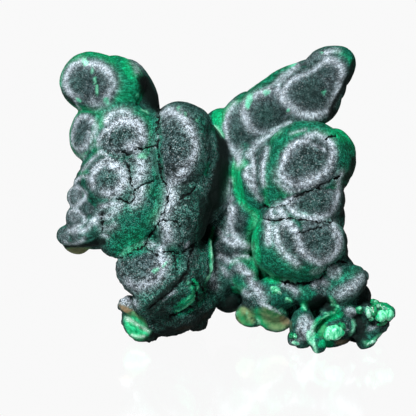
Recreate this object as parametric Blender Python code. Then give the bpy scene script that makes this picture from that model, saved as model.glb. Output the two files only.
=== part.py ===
"""A velvet malachite specimen: one botryoidal mass of fused, rounded lobes, standing on its broken base.

The lobes are placed face on, in millimetres: right, up and front. The whole piece then leans back as it stands.
"""

import math

import bmesh
import bpy
from mathutils import Matrix, Vector, noise

MM = 0.001

# How the specimen stands
LEAN = math.radians(15.0)
FLOOR_UP = 0.35
FLOOR_FRONT = 8.0

# The skin: grid of the fused lobes, height and width of its low lumps (mm), and how many triangles are kept
SKIN_GRID = 0.8
LUMP_HEIGHT = 0.35
LUMP_WIDTH = 5.0
KEPT_TRIANGLES = 9300

# Lobe name, centre (right, up, front), half sizes (right, up, front), roll in degrees
KNOB = (
    ("knob_cap", (-33.4, 68.0, 3.5), (8.2, 7.6, 7.5), 0),
    ("knob_neck", (-28.0, 67.2, 0.0), (8.0, 7.4, 8.5), 0),
    ("knob_back", (-22.5, 64.5, -6.0), (5.3, 9.6, 8.0), 20),
)
LEFT_MASS = (
    ("ear", (-34.5, 55.2, 1.0), (4.6, 6.8, 6.0), -10),
    ("brow", (-25.6, 53.8, 4.0), (8.6, 8.8, 9.0), 0),
    ("belly", (-24.0, 39.0, 4.0), (9.6, 13.6, 10.5), 3),
    ("belly_low", (-26.6, 29.2, 2.5), (5.6, 5.2, 7.0), 0),
    ("cheek", (-28.8, 43.0, 7.6), (7.2, 6.8, 7.4), 0),
    ("fold_a", (-32.6, 48.4, 3.0), (5.0, 2.2, 6.0), 42),
    ("fold_b", (-34.0, 46.0, 2.4), (4.2, 2.0, 6.0), 42),
    ("bead_a", (-35.2, 42.6, 4.0), (3.0, 2.6, 4.0), 0),
    ("bead_b", (-37.0, 39.4, 3.0), (2.8, 2.8, 4.0), 0),
    ("bead_c", (-34.0, 36.8, 5.0), (2.8, 3.0, 4.0), 0),
    ("bead_d", (-37.0, 33.8, 3.0), (3.0, 3.6, 4.0), 0),
    ("bead_e", (-33.0, 32.6, 5.0), (3.2, 4.4, 4.0), 0),
    ("bead_tip", (-38.6, 29.6, 2.0), (3.7, 2.8, 4.0), 0),
    ("bead_low", (-34.8, 30.0, 3.4), (4.4, 3.4, 5.0), 0),
    ("tip_under", (-32.6, 29.6, -1.0), (5.2, 3.6, 5.0), 0),
    ("tip_scar", (-37.4, 27.6, 0.0), (3.6, 2.7, 3.6), -6),
    ("flank", (-33.6, 38.0, 0.0), (5.0, 9.0, 7.0), -6),
)
COLUMN = (
    ("column_crown", (-10.6, 57.0, 5.0), (7.8, 6.0, 9.0), 0),
    ("column_top", (-11.2, 50.4, 7.5), (7.4, 11.0, 11.0), 0),
    ("column_side", (-7.2, 46.0, -1.0), (8.6, 14.6, 12.0), 0),
    ("column_mid", (-10.8, 35.4, 7.0), (6.8, 11.0, 11.0), -12),
    ("column_low", (-11.6, 20.4, 3.0), (7.8, 10.0, 10.0), -12),
    ("column_base", (-7.2, 13.4, -4.0), (5.0, 5.4, 7.0), 0),
    ("chin", (-20.0, 21.4, 6.4), (7.3, 7.0, 8.0), 8),
    ("chin_low", (-16.5, 15.2, 5.4), (7.4, 5.0, 8.0), 35),
)
FOOT = (
    ("foot", (-14.6, 9.6, -2.0), (9.4, 5.0, 8.0), 5),
    ("foot_end", (-21.3, 8.1, -2.6), (4.6, 5.7, 6.4), 26),
    ("foot_lip", (-24.4, 12.2, 0.0), (2.8, 2.4, 4.0), 0),
    ("foot_sole", (-19.4, 5.0, -1.6), (2.4, 2.3, 3.2), 0),
    ("foot_heel", (-7.8, 8.4, -4.0), (3.2, 2.9, 5.0), 0),
)
WING = (
    ("wing_tip", (25.1, 70.3, -8.0), (7.8, 5.9, 6.0), 40),
    ("wing_a", (20.8, 65.4, -6.0), (7.0, 6.8, 6.0), 0),
    ("wing_side", (22.6, 64.4, -9.0), (6.5, 8.0, 6.0), -22),
    ("wing_b", (10.6, 61.4, -7.0), (7.4, 6.2, 6.0), 35),
    ("wing_c", (3.8, 56.2, -9.0), (5.4, 7.8, 6.0), 0),
    ("wing_ridge", (12.6, 65.6, -10.5), (13.4, 4.6, 5.0), 33),
    ("wing_root", (-1.0, 55.0, -12.0), (5.4, 6.6, 7.0), 0),
    ("wing_seat", (17.6, 58.6, -8.0), (6.0, 3.6, 5.0), 0),
)
RIGHT_MASS = (
    ("dome", (20.4, 47.6, 3.0), (11.0, 10.8, 11.0), 0),
    ("dome_edge", (28.0, 49.4, -3.0), (4.6, 7.2, 7.0), 8),
    ("layer_a", (11.6, 44.6, 0.0), (5.4, 9.4, 9.0), 0),
    ("layer_b", (6.9, 43.2, -3.0), (5.2, 9.0, 8.0), 8),
    ("neck", (22.0, 38.2, 3.5), (7.8, 5.6, 9.0), 6),
    ("neck_edge", (27.4, 42.6, 1.0), (2.4, 3.2, 5.0), 0),
    ("side_strip", (26.4, 34.0, -1.0), (3.3, 6.0, 6.0), 0),
    ("bowl", (17.6, 27.8, 5.0), (11.6, 9.8, 10.0), 0),
    ("bowl_a", (23.4, 28.0, 8.0), (6.8, 6.2, 6.6), 0),
    ("bowl_b", (16.6, 28.8, 9.0), (5.4, 6.8, 6.4), 8),
    ("bowl_top", (13.5, 34.6, 5.0), (5.0, 3.4, 7.0), 0),
    ("bowl_edge", (26.6, 25.0, 0.0), (3.8, 6.0, 7.0), 0),
)
GULLY = (
    ("gully_a", (4.8, 34.6, -5.0), (5.0, 6.4, 7.0), 0),
    ("gully_b", (2.4, 40.0, -7.0), (3.4, 5.2, 7.0), 0),
    ("gully_c", (-0.6, 33.0, -8.0), (3.4, 6.0, 7.0), 0),
    ("gully_d", (1.4, 26.8, -5.0), (5.0, 3.2, 6.0), 0),
    ("gully_e", (4.2, 20.0, -4.0), (4.4, 4.8, 6.0), 0),
    ("gully_f", (-1.8, 19.6, -5.0), (3.6, 5.8, 6.0), 0),
    ("gully_g", (0.8, 13.8, -10.0), (4.0, 3.6, 6.0), 0),
)
CLUSTER = (
    ("ledge", (9.4, 12.8, -1.0), (7.0, 3.6, 6.0), -36),
    ("ledge_top", (12.8, 15.4, 1.0), (5.4, 4.2, 6.0), -10),
    ("green_lobe", (21.0, 15.8, 1.0), (5.0, 4.2, 6.0), 0),
    ("shoulder", (27.2, 21.4, 2.0), (4.8, 4.2, 6.0), 0),
    ("barrel", (29.9, 17.4, 3.0), (5.9, 4.4, 5.0), 38),
    ("barrel_back", (33.2, 14.6, -4.0), (3.2, 3.4, 5.0), 30),
    ("stalk", (28.6, 10.8, 0.0), (5.4, 2.6, 5.0), 0),
    ("shelf", (33.4, 7.0, -3.0), (4.6, 4.4, 5.0), 0),
    ("cup_side", (19.2, 6.4, 3.0), (3.4, 5.0, 5.0), 0),
    ("cup_tip", (23.1, 2.6, 7.0), (2.0, 2.7, 2.4), -12),
    ("crumb", (16.9, 4.0, 1.0), (1.6, 2.0, 2.0), 0),
    ("olive_a", (6.2, 9.9, -2.0), (4.1, 3.3, 4.0), 0),
    ("olive_b", (11.4, 9.2, -1.0), (5.0, 3.2, 4.0), -34),
)
CORE = (
    ("core_left", (-17.5, 41.0, -4.0), (12.5, 20.0, 10.0), 0),
    ("core_middle", (2.5, 40.0, -10.0), (14.0, 16.0, 8.0), 0),
    ("core_right", (17.0, 40.0, -3.0), (10.5, 17.0, 9.0), 0),
    ("core_low", (23.0, 14.0, -6.0), (12.0, 7.0, 6.0), 0),
    ("core_gully", (1.0, 24.0, -11.0), (5.0, 13.0, 6.0), 0),
)
BACK = (
    ("back_knob", (-28.8, 66.6, -6.0), (7.0, 6.8, 7.0), 0),
    ("back_brow", (-24.5, 53.0, -8.0), (7.5, 8.0, 8.0), 0),
    ("back_crown", (-13.0, 50.5, -11.0), (8.2, 9.0, 8.0), 0),
    ("back_flank", (-23.5, 38.0, -9.5), (8.4, 8.2, 8.0), 0),
    ("back_column", (-10.5, 36.0, -12.5), (8.2, 8.4, 8.0), 0),
    ("back_chin", (-19.6, 26.0, -8.0), (7.0, 7.0, 8.0), 0),
    ("back_low", (-10.5, 24.0, -10.5), (7.4, 7.2, 8.0), 0),
    ("back_root", (0.0, 49.5, -14.5), (7.0, 7.6, 7.0), 0),
    ("back_saddle", (1.5, 35.0, -16.0), (7.6, 8.4, 7.0), 0),
    ("back_gully", (1.0, 21.0, -12.5), (6.0, 6.4, 6.0), 0),
    ("back_dome", (14.0, 50.0, -9.5), (8.0, 8.0, 7.4), 0),
    ("back_edge", (22.0, 43.0, -7.0), (6.4, 8.0, 7.0), 0),
    ("back_neck", (12.8, 37.0, -12.0), (8.0, 7.6, 7.6), 0),
    ("back_bowl", (22.0, 28.5, -7.5), (6.8, 7.8, 7.6), 0),
    ("back_belly", (12.5, 24.0, -11.5), (7.4, 7.2, 7.2), 0),
    ("back_shelf", (24.0, 15.0, -10.5), (7.2, 6.0, 6.0), 0),
    ("back_nub", (33.0, 10.6, -6.5), (4.6, 4.8, 5.0), 0),
    ("back_wing", (19.0, 66.4, -11.0), (8.6, 5.6, 4.8), 30),
    ("back_vane", (6.0, 59.6, -12.5), (7.0, 6.2, 6.0), 30),
)
HEELS = (
    ("heel_left", (-10.5, 13.4, -15.0), (5.6, 7.6, 7.0), 0),
    ("heel_right", (11.0, 13.2, -15.0), (5.8, 7.2, 7.0), 0),
)
LOBES = KNOB + LEFT_MASS + COLUMN + FOOT + WING + RIGHT_MASS + GULLY + CLUSTER + CORE + BACK + HEELS

# Faceted crystals, in the same columns
CRYSTALS = (
    ("cup", (26.8, 5.9, 3.0), (5.8, 4.8, 5.0), 0),
    ("mint", (27.2, 5.8, 7.6), (2.6, 2.5, 2.0), 15),
    ("nub_a", (38.8, 10.6, 0.5), (3.6, 2.9, 3.0), -20),
    ("nub_b", (35.0, 11.0, 1.0), (2.6, 2.5, 3.0), 0),
    ("nub_c", (37.4, 6.6, -2.0), (3.9, 2.7, 4.0), 22),
    ("nub_d", (35.0, 3.5, 4.4), (3.0, 2.4, 3.0), 10),
    ("nub_e", (37.0, 4.9, -1.0), (2.6, 1.8, 3.0), 30),
)

# The torn green edge round the open lobe at the lower right: points (right, up, front) and half thickness
RIM_HALF = 1.0
RIM = (
    (27.4, 10.8, 5.2),
    (25.6, 10.5, 6.2),
    (24.0, 9.7, 7.0),
    (22.8, 8.7, 7.4),
    (21.8, 7.6, 7.6),
    (21.1, 6.3, 7.6),
    (20.7, 4.9, 7.4),
    (21.0, 3.5, 7.2),
    (21.8, 2.4, 7.0),
)

# Broken faces: the lobe or crystal, a point on the break and the way it faces
BREAKS = (
    ("tip_scar", (-37.4, 27.2, 2.0), (0.05, -0.6, 0.8)),
    ("foot_end", (-22.4, 6.8, 1.2), (-0.5, -0.05, 0.86)),
    ("foot_lip", (-24.4, 12.2, 2.0), (-0.3, 0.25, 0.92)),
    ("olive_a", (6.2, 9.4, 0.6), (-0.2, -0.3, 0.93)),
    ("olive_b", (11.4, 8.8, 1.2), (0.1, -0.3, 0.95)),
    ("cup", (26.8, 5.9, 5.4), (0.1, -0.1, 0.99)),
)

# The ways the flat faces of a crystal look before it is rolled, and how far in they cut
FACETS = (
    ((0.0, 0.35, 0.94), 0.80),
    ((0.72, 0.30, 0.62), 0.80),
    ((-0.70, 0.45, 0.55), 0.78),
    ((0.10, -0.75, 0.65), 0.80),
    ((-0.55, -0.55, 0.63), 0.84),
    ((0.75, -0.60, 0.28), 0.80),
    ((-0.93, -0.20, 0.30), 0.82),
    ((0.25, 0.95, 0.20), 0.80),
    ((-0.45, 0.88, -0.15), 0.84),
    ((0.10, -0.98, -0.15), 0.82),
)


def stand():
    """Takes the face-on millimetres to metres in the world, leaned back and let down onto the floor."""
    sine = math.sin(LEAN)
    cosine = math.cos(LEAN)
    drop = FLOOR_UP * cosine + FLOOR_FRONT * sine
    rows = (
        (1.0, 0.0, 0.0, 0.0),
        (0.0, sine, -cosine, 0.0),
        (0.0, cosine, sine, -drop),
        (0.0, 0.0, 0.0, 1.0),
    )
    return Matrix.Scale(MM, 4) @ Matrix(rows)


def flatten(verts, point, normal):
    """Presses every vertex that lies beyond a plane back onto it, which leaves a flat face."""
    point = Vector(point)
    normal = Vector(normal).normalized()
    for vert in verts:
        beyond = (vert.co - point).dot(normal)
        if beyond > 0.0:
            vert.co -= normal * beyond


def add_lobe(bm, name, centre, half, roll, faceted):
    """One rounded lobe, or one crystal with flat faces, with its own break if it has one."""
    grown = bmesh.ops.create_icosphere(bm, subdivisions=4, radius=1.0)["verts"]
    if faceted:
        for way, depth in FACETS:
            way = Vector(way).normalized()
            flatten(grown, way * depth, way)
    shape = Matrix.Translation(centre) @ Matrix.Rotation(math.radians(roll), 4, "Z") @ Matrix.Diagonal((*half, 1.0))
    bmesh.ops.transform(bm, matrix=shape, verts=grown)
    for broken, point, normal in BREAKS:
        if broken == name:
            flatten(grown, point, normal)


def add_rim(bm):
    """The torn edge, as a chain of small balls close enough to fuse."""
    for start, end in zip(RIM, RIM[1:]):
        for step in range(3):
            centre = Vector(start).lerp(Vector(end), step / 3)
            ball = bmesh.ops.create_icosphere(bm, subdivisions=3, radius=RIM_HALF)["verts"]
            bmesh.ops.translate(bm, vec=centre, verts=ball)


def evaluated(item):
    """The mesh of an object after its modifiers."""
    graph = bpy.context.evaluated_depsgraph_get()
    return bpy.data.meshes.new_from_object(item.evaluated_get(graph))


def keep_outer_shell(bm):
    """Removes closed pockets left inside the mass, so that it is one solid."""
    bm.verts.ensure_lookup_table()
    unseen = set(bm.verts)
    shells = []
    while unseen:
        shell = set()
        edge_of = [unseen.pop()]
        while edge_of:
            vert = edge_of.pop()
            shell.add(vert)
            for edge in vert.link_edges:
                other = edge.other_vert(vert)
                if other in unseen:
                    unseen.remove(other)
                    edge_of.append(other)
        shells.append(shell)
    shells.sort(key=len)
    for shell in shells[:-1]:
        bmesh.ops.delete(bm, geom=list(shell), context="VERTS")


for old in list(bpy.data.objects):
    bpy.data.objects.remove(old)

# All the lobes and crystals, overlapping, face on
bm = bmesh.new()
for name, centre, half, roll in LOBES:
    add_lobe(bm, name, centre, half, roll, False)
for name, centre, half, roll in CRYSTALS:
    add_lobe(bm, name, centre, half, roll, True)
add_rim(bm)
bmesh.ops.transform(bm, matrix=stand(), verts=bm.verts)
mesh = bpy.data.meshes.new("grown")
bm.to_mesh(mesh)
bm.free()
grown = bpy.data.objects.new("grown", mesh)
bpy.context.collection.objects.link(grown)

# Fused into one skin
fuse = grown.modifiers.new("fuse", "REMESH")
fuse.mode = "VOXEL"
fuse.voxel_size = SKIN_GRID * MM
skin = evaluated(grown)
bpy.data.objects.remove(grown)

# Low lumps, so that no lobe is a perfect ball
bm = bmesh.new()
bm.from_mesh(skin)
keep_outer_shell(bm)
bm.normal_update()
for vert in bm.verts:
    swell = noise.noise(vert.co / (LUMP_WIDTH * MM))
    vert.co += vert.normal * (swell * LUMP_HEIGHT * MM)
bm.to_mesh(skin)
bm.free()
lumpy = bpy.data.objects.new("lumpy", skin)
bpy.context.collection.objects.link(lumpy)
thin = lumpy.modifiers.new("thin", "DECIMATE")
thin.ratio = KEPT_TRIANGLES / sum(len(face.vertices) - 2 for face in skin.polygons)
thinned = evaluated(lumpy)
bpy.data.objects.remove(lumpy)

# The lowest points are worn flat where the specimen rests
body = bpy.data.objects.new("malachite", thinned)
bpy.context.collection.objects.link(body)
bm = bmesh.new()
bm.from_mesh(thinned)
geometry = bm.verts[:] + bm.edges[:] + bm.faces[:]
bmesh.ops.bisect_plane(bm, geom=geometry, dist=1e-7, plane_co=(0, 0, 0), plane_no=(0, 0, -1), clear_outer=True)
bmesh.ops.holes_fill(bm, edges=[edge for edge in bm.edges if edge.is_boundary], sides=0)
bmesh.ops.triangulate(bm, faces=bm.faces[:])
lows = [min(vert.co[axis] for vert in bm.verts) for axis in range(2)]
highs = [max(vert.co[axis] for vert in bm.verts) for axis in range(2)]
middle = [(low + high) / 2 for low, high in zip(lows, highs)]
bmesh.ops.translate(bm, vec=(-middle[0], -middle[1], 0.0), verts=bm.verts)
bm.to_mesh(thinned)
bm.free()

# Velvet malachite: deep green, dull
skin_look = bpy.data.materials.new("malachite")
skin_look.use_nodes = True
shader = skin_look.node_tree.nodes["Principled BSDF"]
shader.inputs["Base Color"].default_value = (0.035, 0.120, 0.085, 1.0)
shader.inputs["Roughness"].default_value = 0.7
shader.inputs["Metallic"].default_value = 0.0
body.data.materials.clear()
body.data.materials.append(skin_look)
print("middle", middle, "triangles", len(body.data.polygons))
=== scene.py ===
"""A velvet malachite specimen: fused rounded lobes with pale growth rings and a broken, bright green foot."""

import math

import bmesh
import bpy
import numpy as np
from mathutils import Matrix, Vector, noise


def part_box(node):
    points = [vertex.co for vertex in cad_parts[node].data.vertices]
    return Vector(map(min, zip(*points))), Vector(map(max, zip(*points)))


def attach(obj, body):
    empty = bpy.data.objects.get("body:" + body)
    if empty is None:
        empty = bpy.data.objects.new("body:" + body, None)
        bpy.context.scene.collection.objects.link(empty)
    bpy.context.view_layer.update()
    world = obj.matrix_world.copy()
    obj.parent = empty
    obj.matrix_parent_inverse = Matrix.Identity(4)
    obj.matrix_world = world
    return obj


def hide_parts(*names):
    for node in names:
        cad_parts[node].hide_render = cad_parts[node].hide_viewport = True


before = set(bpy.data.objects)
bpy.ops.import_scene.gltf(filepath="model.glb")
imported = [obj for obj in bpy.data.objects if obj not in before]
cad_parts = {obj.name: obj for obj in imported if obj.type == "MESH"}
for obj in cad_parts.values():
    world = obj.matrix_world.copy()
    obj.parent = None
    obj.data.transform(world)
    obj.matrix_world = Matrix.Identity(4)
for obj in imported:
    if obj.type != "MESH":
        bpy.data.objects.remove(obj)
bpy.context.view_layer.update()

# The velvet mass: one natural growth of copper carbonate in fused, rounded lobes, built of fibres that stand
# on its skin like the pile of velvet. Most lobes have an eye, with a pale ring round a dark middle; the ring
# is painted sheen where the fibre tips catch the light. It is given face on in millimetres (right, up,
# front), then leaned back and let down onto the floor as it stands.
MM = 0.001
LEAN = math.radians(15.0)
FLOOR_UP = 0.35
FLOOR_FRONT = 8.0
MIDDLE = (0.012, 12.473)
FINE_GRID = 0.61
SETTLE_ROUNDS = 55
LUMP_HEIGHT = 0.35
LUMP_WIDTH = 5.0
SWELL_WIDTH = 3.2
SWELL_HEIGHT = 0.12
FRET_WIDTH = 1.1
DRIFT_WIDTH = 6.5
CRACK_REACHES = (0.8, 0.4)
CRACK_JAG = 0.42
CRACK_HALF = 0.26
CRACK_DEEP = 0.5
CREASE_HALF = 0.22
CREASE_DEEP = 0.15

# Lobe name, centre (right, up, front), half sizes (right, up, front), roll in degrees
KNOB = (
    ("knob_cap", (-33.4, 68.0, 3.5), (8.2, 7.6, 7.5), 0),
    ("knob_neck", (-28.0, 67.2, 0.0), (8.0, 7.4, 8.5), 0),
    ("knob_back", (-22.5, 64.5, -6.0), (5.3, 9.6, 8.0), 20),
)
LEFT_MASS = (
    ("ear", (-34.5, 55.2, 1.0), (4.6, 6.8, 6.0), -10),
    ("brow", (-25.6, 53.8, 4.0), (8.6, 8.8, 9.0), 0),
    ("belly", (-24.0, 39.0, 4.0), (9.6, 13.6, 10.5), 3),
    ("belly_low", (-26.6, 29.2, 2.5), (5.6, 5.2, 7.0), 0),
    ("cheek", (-28.8, 43.0, 7.6), (7.2, 6.8, 7.4), 0),
    ("fold_a", (-32.6, 48.4, 3.0), (5.0, 2.2, 6.0), 42),
    ("fold_b", (-34.0, 46.0, 2.4), (4.2, 2.0, 6.0), 42),
    ("bead_a", (-35.2, 42.6, 4.0), (3.0, 2.6, 4.0), 0),
    ("bead_b", (-37.0, 39.4, 3.0), (2.8, 2.8, 4.0), 0),
    ("bead_c", (-34.0, 36.8, 5.0), (2.8, 3.0, 4.0), 0),
    ("bead_d", (-37.0, 33.8, 3.0), (3.0, 3.6, 4.0), 0),
    ("bead_e", (-33.0, 32.6, 5.0), (3.2, 4.4, 4.0), 0),
    ("bead_tip", (-38.6, 29.6, 2.0), (3.7, 2.8, 4.0), 0),
    ("bead_low", (-34.8, 30.0, 3.4), (4.4, 3.4, 5.0), 0),
    ("tip_under", (-32.6, 29.6, -1.0), (5.2, 3.6, 5.0), 0),
    ("tip_scar", (-37.4, 27.6, 0.0), (3.6, 2.7, 3.6), -6),
    ("flank", (-33.6, 38.0, 0.0), (5.0, 9.0, 7.0), -6),
)
COLUMN = (
    ("column_crown", (-11.2, 57.0, 5.0), (7.4, 6.0, 9.0), 0),
    ("column_top", (-11.2, 50.4, 7.5), (7.4, 11.0, 11.0), 0),
    ("column_side", (-7.2, 45.0, -1.0), (8.6, 13.6, 12.0), 0),
    ("column_mid", (-10.8, 35.4, 7.0), (6.8, 11.0, 11.0), -12),
    ("column_low", (-11.6, 20.4, 3.0), (7.8, 10.0, 10.0), -12),
    ("column_base", (-7.2, 13.4, -4.0), (5.0, 5.4, 7.0), 0),
    ("edge_ridge", (-3.9, 23.6, 3.4), (0.85, 5.6, 3.0), 3),
    ("chin", (-20.0, 21.4, 6.4), (7.3, 7.0, 8.0), 8),
    ("chin_low", (-16.5, 15.2, 5.4), (7.4, 5.0, 8.0), 35),
)
FOOT = (
    ("foot", (-14.6, 9.6, -2.0), (9.4, 5.0, 8.0), 5),
    ("foot_end", (-21.3, 8.1, -2.6), (4.6, 5.7, 6.4), 26),
    ("foot_lip", (-24.4, 12.2, 0.0), (2.8, 2.4, 4.0), 0),
    ("foot_sole", (-19.4, 5.0, -1.6), (2.4, 2.3, 3.2), 0),
    ("foot_heel", (-7.8, 8.4, -4.0), (3.2, 2.9, 5.0), 0),
)
WING = (
    ("wing_tip", (25.6, 70.8, -8.0), (7.8, 5.9, 6.0), 40),
    ("wing_a", (20.8, 65.4, -6.0), (7.0, 6.8, 6.0), 0),
    ("wing_side", (22.6, 64.4, -9.0), (6.5, 8.0, 6.0), -22),
    ("wing_b", (10.6, 61.4, -7.0), (7.4, 6.2, 6.0), 35),
    ("wing_c", (3.8, 56.2, -9.0), (5.4, 7.8, 6.0), 0),
    ("wing_ridge", (12.6, 65.6, -10.5), (13.4, 4.6, 5.0), 33),
    ("wing_root", (-1.0, 55.0, -12.0), (5.4, 6.6, 7.0), 0),
    ("wing_seat", (17.6, 58.6, -8.0), (6.0, 3.6, 5.0), 0),
    ("wing_rim", (26.5, 66.8, -8.0), (3.7, 5.4, 5.4), -20),
    ("wing_lip", (21.5, 60.0, -6.9), (5.6, 3.6, 5.4), 12),
)
RIGHT_MASS = (
    ("dome", (20.4, 47.6, 3.0), (11.0, 10.8, 11.0), 0),
    ("dome_edge", (28.0, 49.4, -3.0), (4.6, 7.2, 7.0), 8),
    ("layer_a", (11.6, 44.6, 0.0), (5.4, 9.4, 9.0), 0),
    ("layer_b", (6.9, 43.2, -3.0), (5.2, 9.0, 8.0), 8),
    ("neck", (22.0, 38.2, 3.5), (7.8, 5.6, 9.0), 6),
    ("neck_edge", (27.4, 42.6, 1.0), (2.4, 3.2, 5.0), 0),
    ("side_strip", (26.4, 34.0, -1.0), (3.3, 6.0, 6.0), 0),
    ("bowl", (17.6, 27.8, 5.0), (11.6, 9.8, 10.0), 0),
    ("bowl_a", (23.4, 28.0, 8.0), (6.8, 6.2, 6.6), 0),
    ("bowl_b", (16.6, 28.8, 9.0), (5.4, 6.8, 6.4), 8),
    ("bowl_top", (13.5, 34.6, 5.0), (5.0, 3.4, 7.0), 0),
    ("bowl_edge", (26.6, 25.0, 0.0), (3.8, 6.0, 7.0), 0),
)
GULLY = (
    ("gully_a", (4.8, 34.6, -5.0), (5.0, 6.4, 7.0), 0),
    ("gully_b", (2.4, 40.0, -7.0), (3.4, 5.2, 7.0), 0),
    ("gully_c", (-0.6, 33.0, -8.0), (3.4, 6.0, 7.0), 0),
    ("gully_d", (1.4, 26.8, -5.0), (5.0, 3.2, 6.0), 0),
    ("gully_e", (4.2, 20.0, -4.0), (4.4, 4.8, 6.0), 0),
    ("gully_f", (-1.8, 19.6, -5.0), (3.6, 5.8, 6.0), 0),
    ("gully_g", (0.8, 13.8, -10.0), (4.0, 3.6, 6.0), 0),
)
CLUSTER = (
    ("ledge", (9.4, 12.8, -1.0), (7.0, 3.6, 6.0), -36),
    ("ledge_top", (12.8, 15.4, 1.0), (5.4, 4.2, 6.0), -10),
    ("green_lobe", (21.0, 15.8, 1.0), (5.0, 4.2, 6.0), 0),
    ("shoulder", (27.2, 21.4, 2.0), (4.8, 4.2, 6.0), 0),
    ("barrel", (29.9, 17.4, 3.0), (5.9, 4.4, 5.0), 38),
    ("barrel_back", (33.2, 14.6, -4.0), (3.2, 3.4, 5.0), 30),
    ("barrel_brow", (34.2, 19.6, 2.0), (1.6, 1.5, 3.0), -20),
    ("stalk", (28.6, 10.8, 0.0), (5.4, 2.6, 5.0), 0),
    ("shelf", (33.4, 7.0, -3.0), (4.6, 4.4, 5.0), 0),
    ("cup_side", (19.2, 6.4, 3.0), (3.4, 5.0, 5.0), 0),
    ("cup_tip", (23.1, 2.6, 7.0), (2.0, 2.7, 2.4), -12),
    ("crumb", (16.9, 4.0, 1.0), (1.6, 2.0, 2.0), 0),
    ("olive_a", (6.2, 9.9, -2.0), (4.1, 3.3, 4.0), 0),
    ("olive_b", (11.4, 9.2, -1.0), (5.0, 3.2, 4.0), -34),
)
CORE = (
    ("core_left", (-17.5, 41.0, -4.0), (12.5, 20.0, 10.0), 0),
    ("core_middle", (2.5, 40.0, -10.0), (14.0, 16.0, 8.0), 0),
    ("core_right", (17.0, 40.0, -3.0), (10.5, 17.0, 9.0), 0),
    ("core_low", (23.0, 14.0, -6.0), (12.0, 7.0, 6.0), 0),
    ("core_gully", (1.0, 24.0, -11.0), (5.0, 13.0, 6.0), 0),
)
BACK = (
    ("back_knob", (-28.8, 66.6, -6.0), (7.0, 6.8, 7.0), 0),
    ("back_brow", (-24.5, 53.0, -8.0), (7.5, 8.0, 8.0), 0),
    ("back_crown", (-13.0, 50.5, -11.0), (8.2, 9.0, 8.0), 0),
    ("back_flank", (-23.5, 38.0, -9.5), (8.4, 8.2, 8.0), 0),
    ("back_column", (-10.5, 36.0, -12.5), (8.2, 8.4, 8.0), 0),
    ("back_chin", (-19.6, 26.0, -8.0), (7.0, 7.0, 8.0), 0),
    ("back_low", (-10.5, 24.0, -10.5), (7.4, 7.2, 8.0), 0),
    ("back_root", (0.0, 49.5, -14.5), (7.0, 7.6, 7.0), 0),
    ("back_saddle", (1.5, 35.0, -16.0), (7.6, 8.4, 7.0), 0),
    ("back_gully", (1.0, 21.0, -12.5), (6.0, 6.4, 6.0), 0),
    ("back_dome", (14.0, 50.0, -9.5), (8.0, 8.0, 7.4), 0),
    ("back_edge", (22.0, 43.0, -7.0), (6.4, 8.0, 7.0), 0),
    ("back_neck", (12.8, 37.0, -12.0), (8.0, 7.6, 7.6), 0),
    ("back_bowl", (22.0, 28.5, -7.5), (6.8, 7.8, 7.6), 0),
    ("back_belly", (12.5, 24.0, -11.5), (7.4, 7.2, 7.2), 0),
    ("back_shelf", (24.0, 15.0, -10.5), (7.2, 6.0, 6.0), 0),
    ("back_nub", (33.0, 10.6, -6.5), (4.6, 4.8, 5.0), 0),
    ("back_wing", (19.0, 66.4, -11.0), (8.6, 5.6, 4.8), 30),
    ("back_vane", (6.0, 59.6, -12.5), (7.0, 6.2, 6.0), 30),
)
HEELS = (
    ("heel_left", (-10.5, 13.4, -15.0), (5.6, 7.6, 7.0), 0),
    ("heel_right", (11.0, 13.2, -15.0), (5.8, 7.2, 7.0), 0),
)
LOBES = KNOB + LEFT_MASS + COLUMN + FOOT + WING + RIGHT_MASS + GULLY + CLUSTER + CORE + BACK + HEELS

# Lobes with flat crystal faces, in the same columns
KNUCKLES = (
    ("cup", (26.8, 5.9, 3.0), (5.8, 4.8, 5.0), 0),
    ("mint", (27.2, 5.8, 7.6), (2.6, 2.5, 2.0), 15),
    ("nub_a", (38.8, 10.6, 0.5), (3.6, 2.9, 3.0), -20),
    ("nub_b", (35.0, 11.0, 1.0), (2.6, 2.5, 3.0), 0),
    ("nub_c", (37.4, 6.6, -2.0), (3.9, 2.7, 4.0), 22),
    ("nub_d", (35.0, 3.5, 4.4), (3.0, 2.4, 3.0), 10),
    ("nub_e", (37.0, 4.9, -1.0), (2.6, 1.8, 3.0), 30),
)

# The torn green edge round the open lobe at the lower right: points (right, up, front) and half thickness
RIM_HALF = 1.0
RIM = (
    (27.4, 10.8, 5.2),
    (25.6, 10.5, 6.2),
    (24.0, 9.7, 7.0),
    (22.8, 8.7, 7.4),
    (21.8, 7.6, 7.6),
    (21.1, 6.3, 7.6),
    (20.7, 4.9, 7.4),
    (21.0, 3.5, 7.2),
    (21.8, 2.4, 7.0),
)

# Broken faces: the lobe or crystal, a point on the break and the way it faces
BREAKS = (
    ("column_side", (0.9, 47.0, -1.0), (0.96, 0.0, 0.28)),
    ("tip_scar", (-37.4, 27.2, 2.0), (0.05, -0.6, 0.8)),
    ("foot_end", (-22.4, 6.8, 1.2), (-0.5, -0.05, 0.86)),
    ("foot_lip", (-24.4, 12.2, 2.0), (-0.3, 0.25, 0.92)),
    ("olive_a", (6.2, 9.4, 0.6), (-0.2, -0.3, 0.93)),
    ("olive_b", (11.4, 8.8, 1.2), (0.1, -0.3, 0.95)),
    ("cup", (26.8, 5.9, 5.4), (0.1, -0.1, 0.99)),
)

# The ways the flat faces of a crystal look before it is rolled, and how far in they cut
FACETS = (
    ((0.0, 0.35, 0.94), 0.80),
    ((0.72, 0.30, 0.62), 0.80),
    ((-0.70, 0.45, 0.55), 0.78),
    ((0.10, -0.75, 0.65), 0.80),
    ((-0.55, -0.55, 0.63), 0.84),
    ((0.75, -0.60, 0.28), 0.80),
    ((-0.93, -0.20, 0.30), 0.82),
    ((0.25, 0.95, 0.20), 0.80),
    ((-0.45, 0.88, -0.15), 0.84),
    ((0.10, -0.98, -0.15), 0.82),
)

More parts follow.
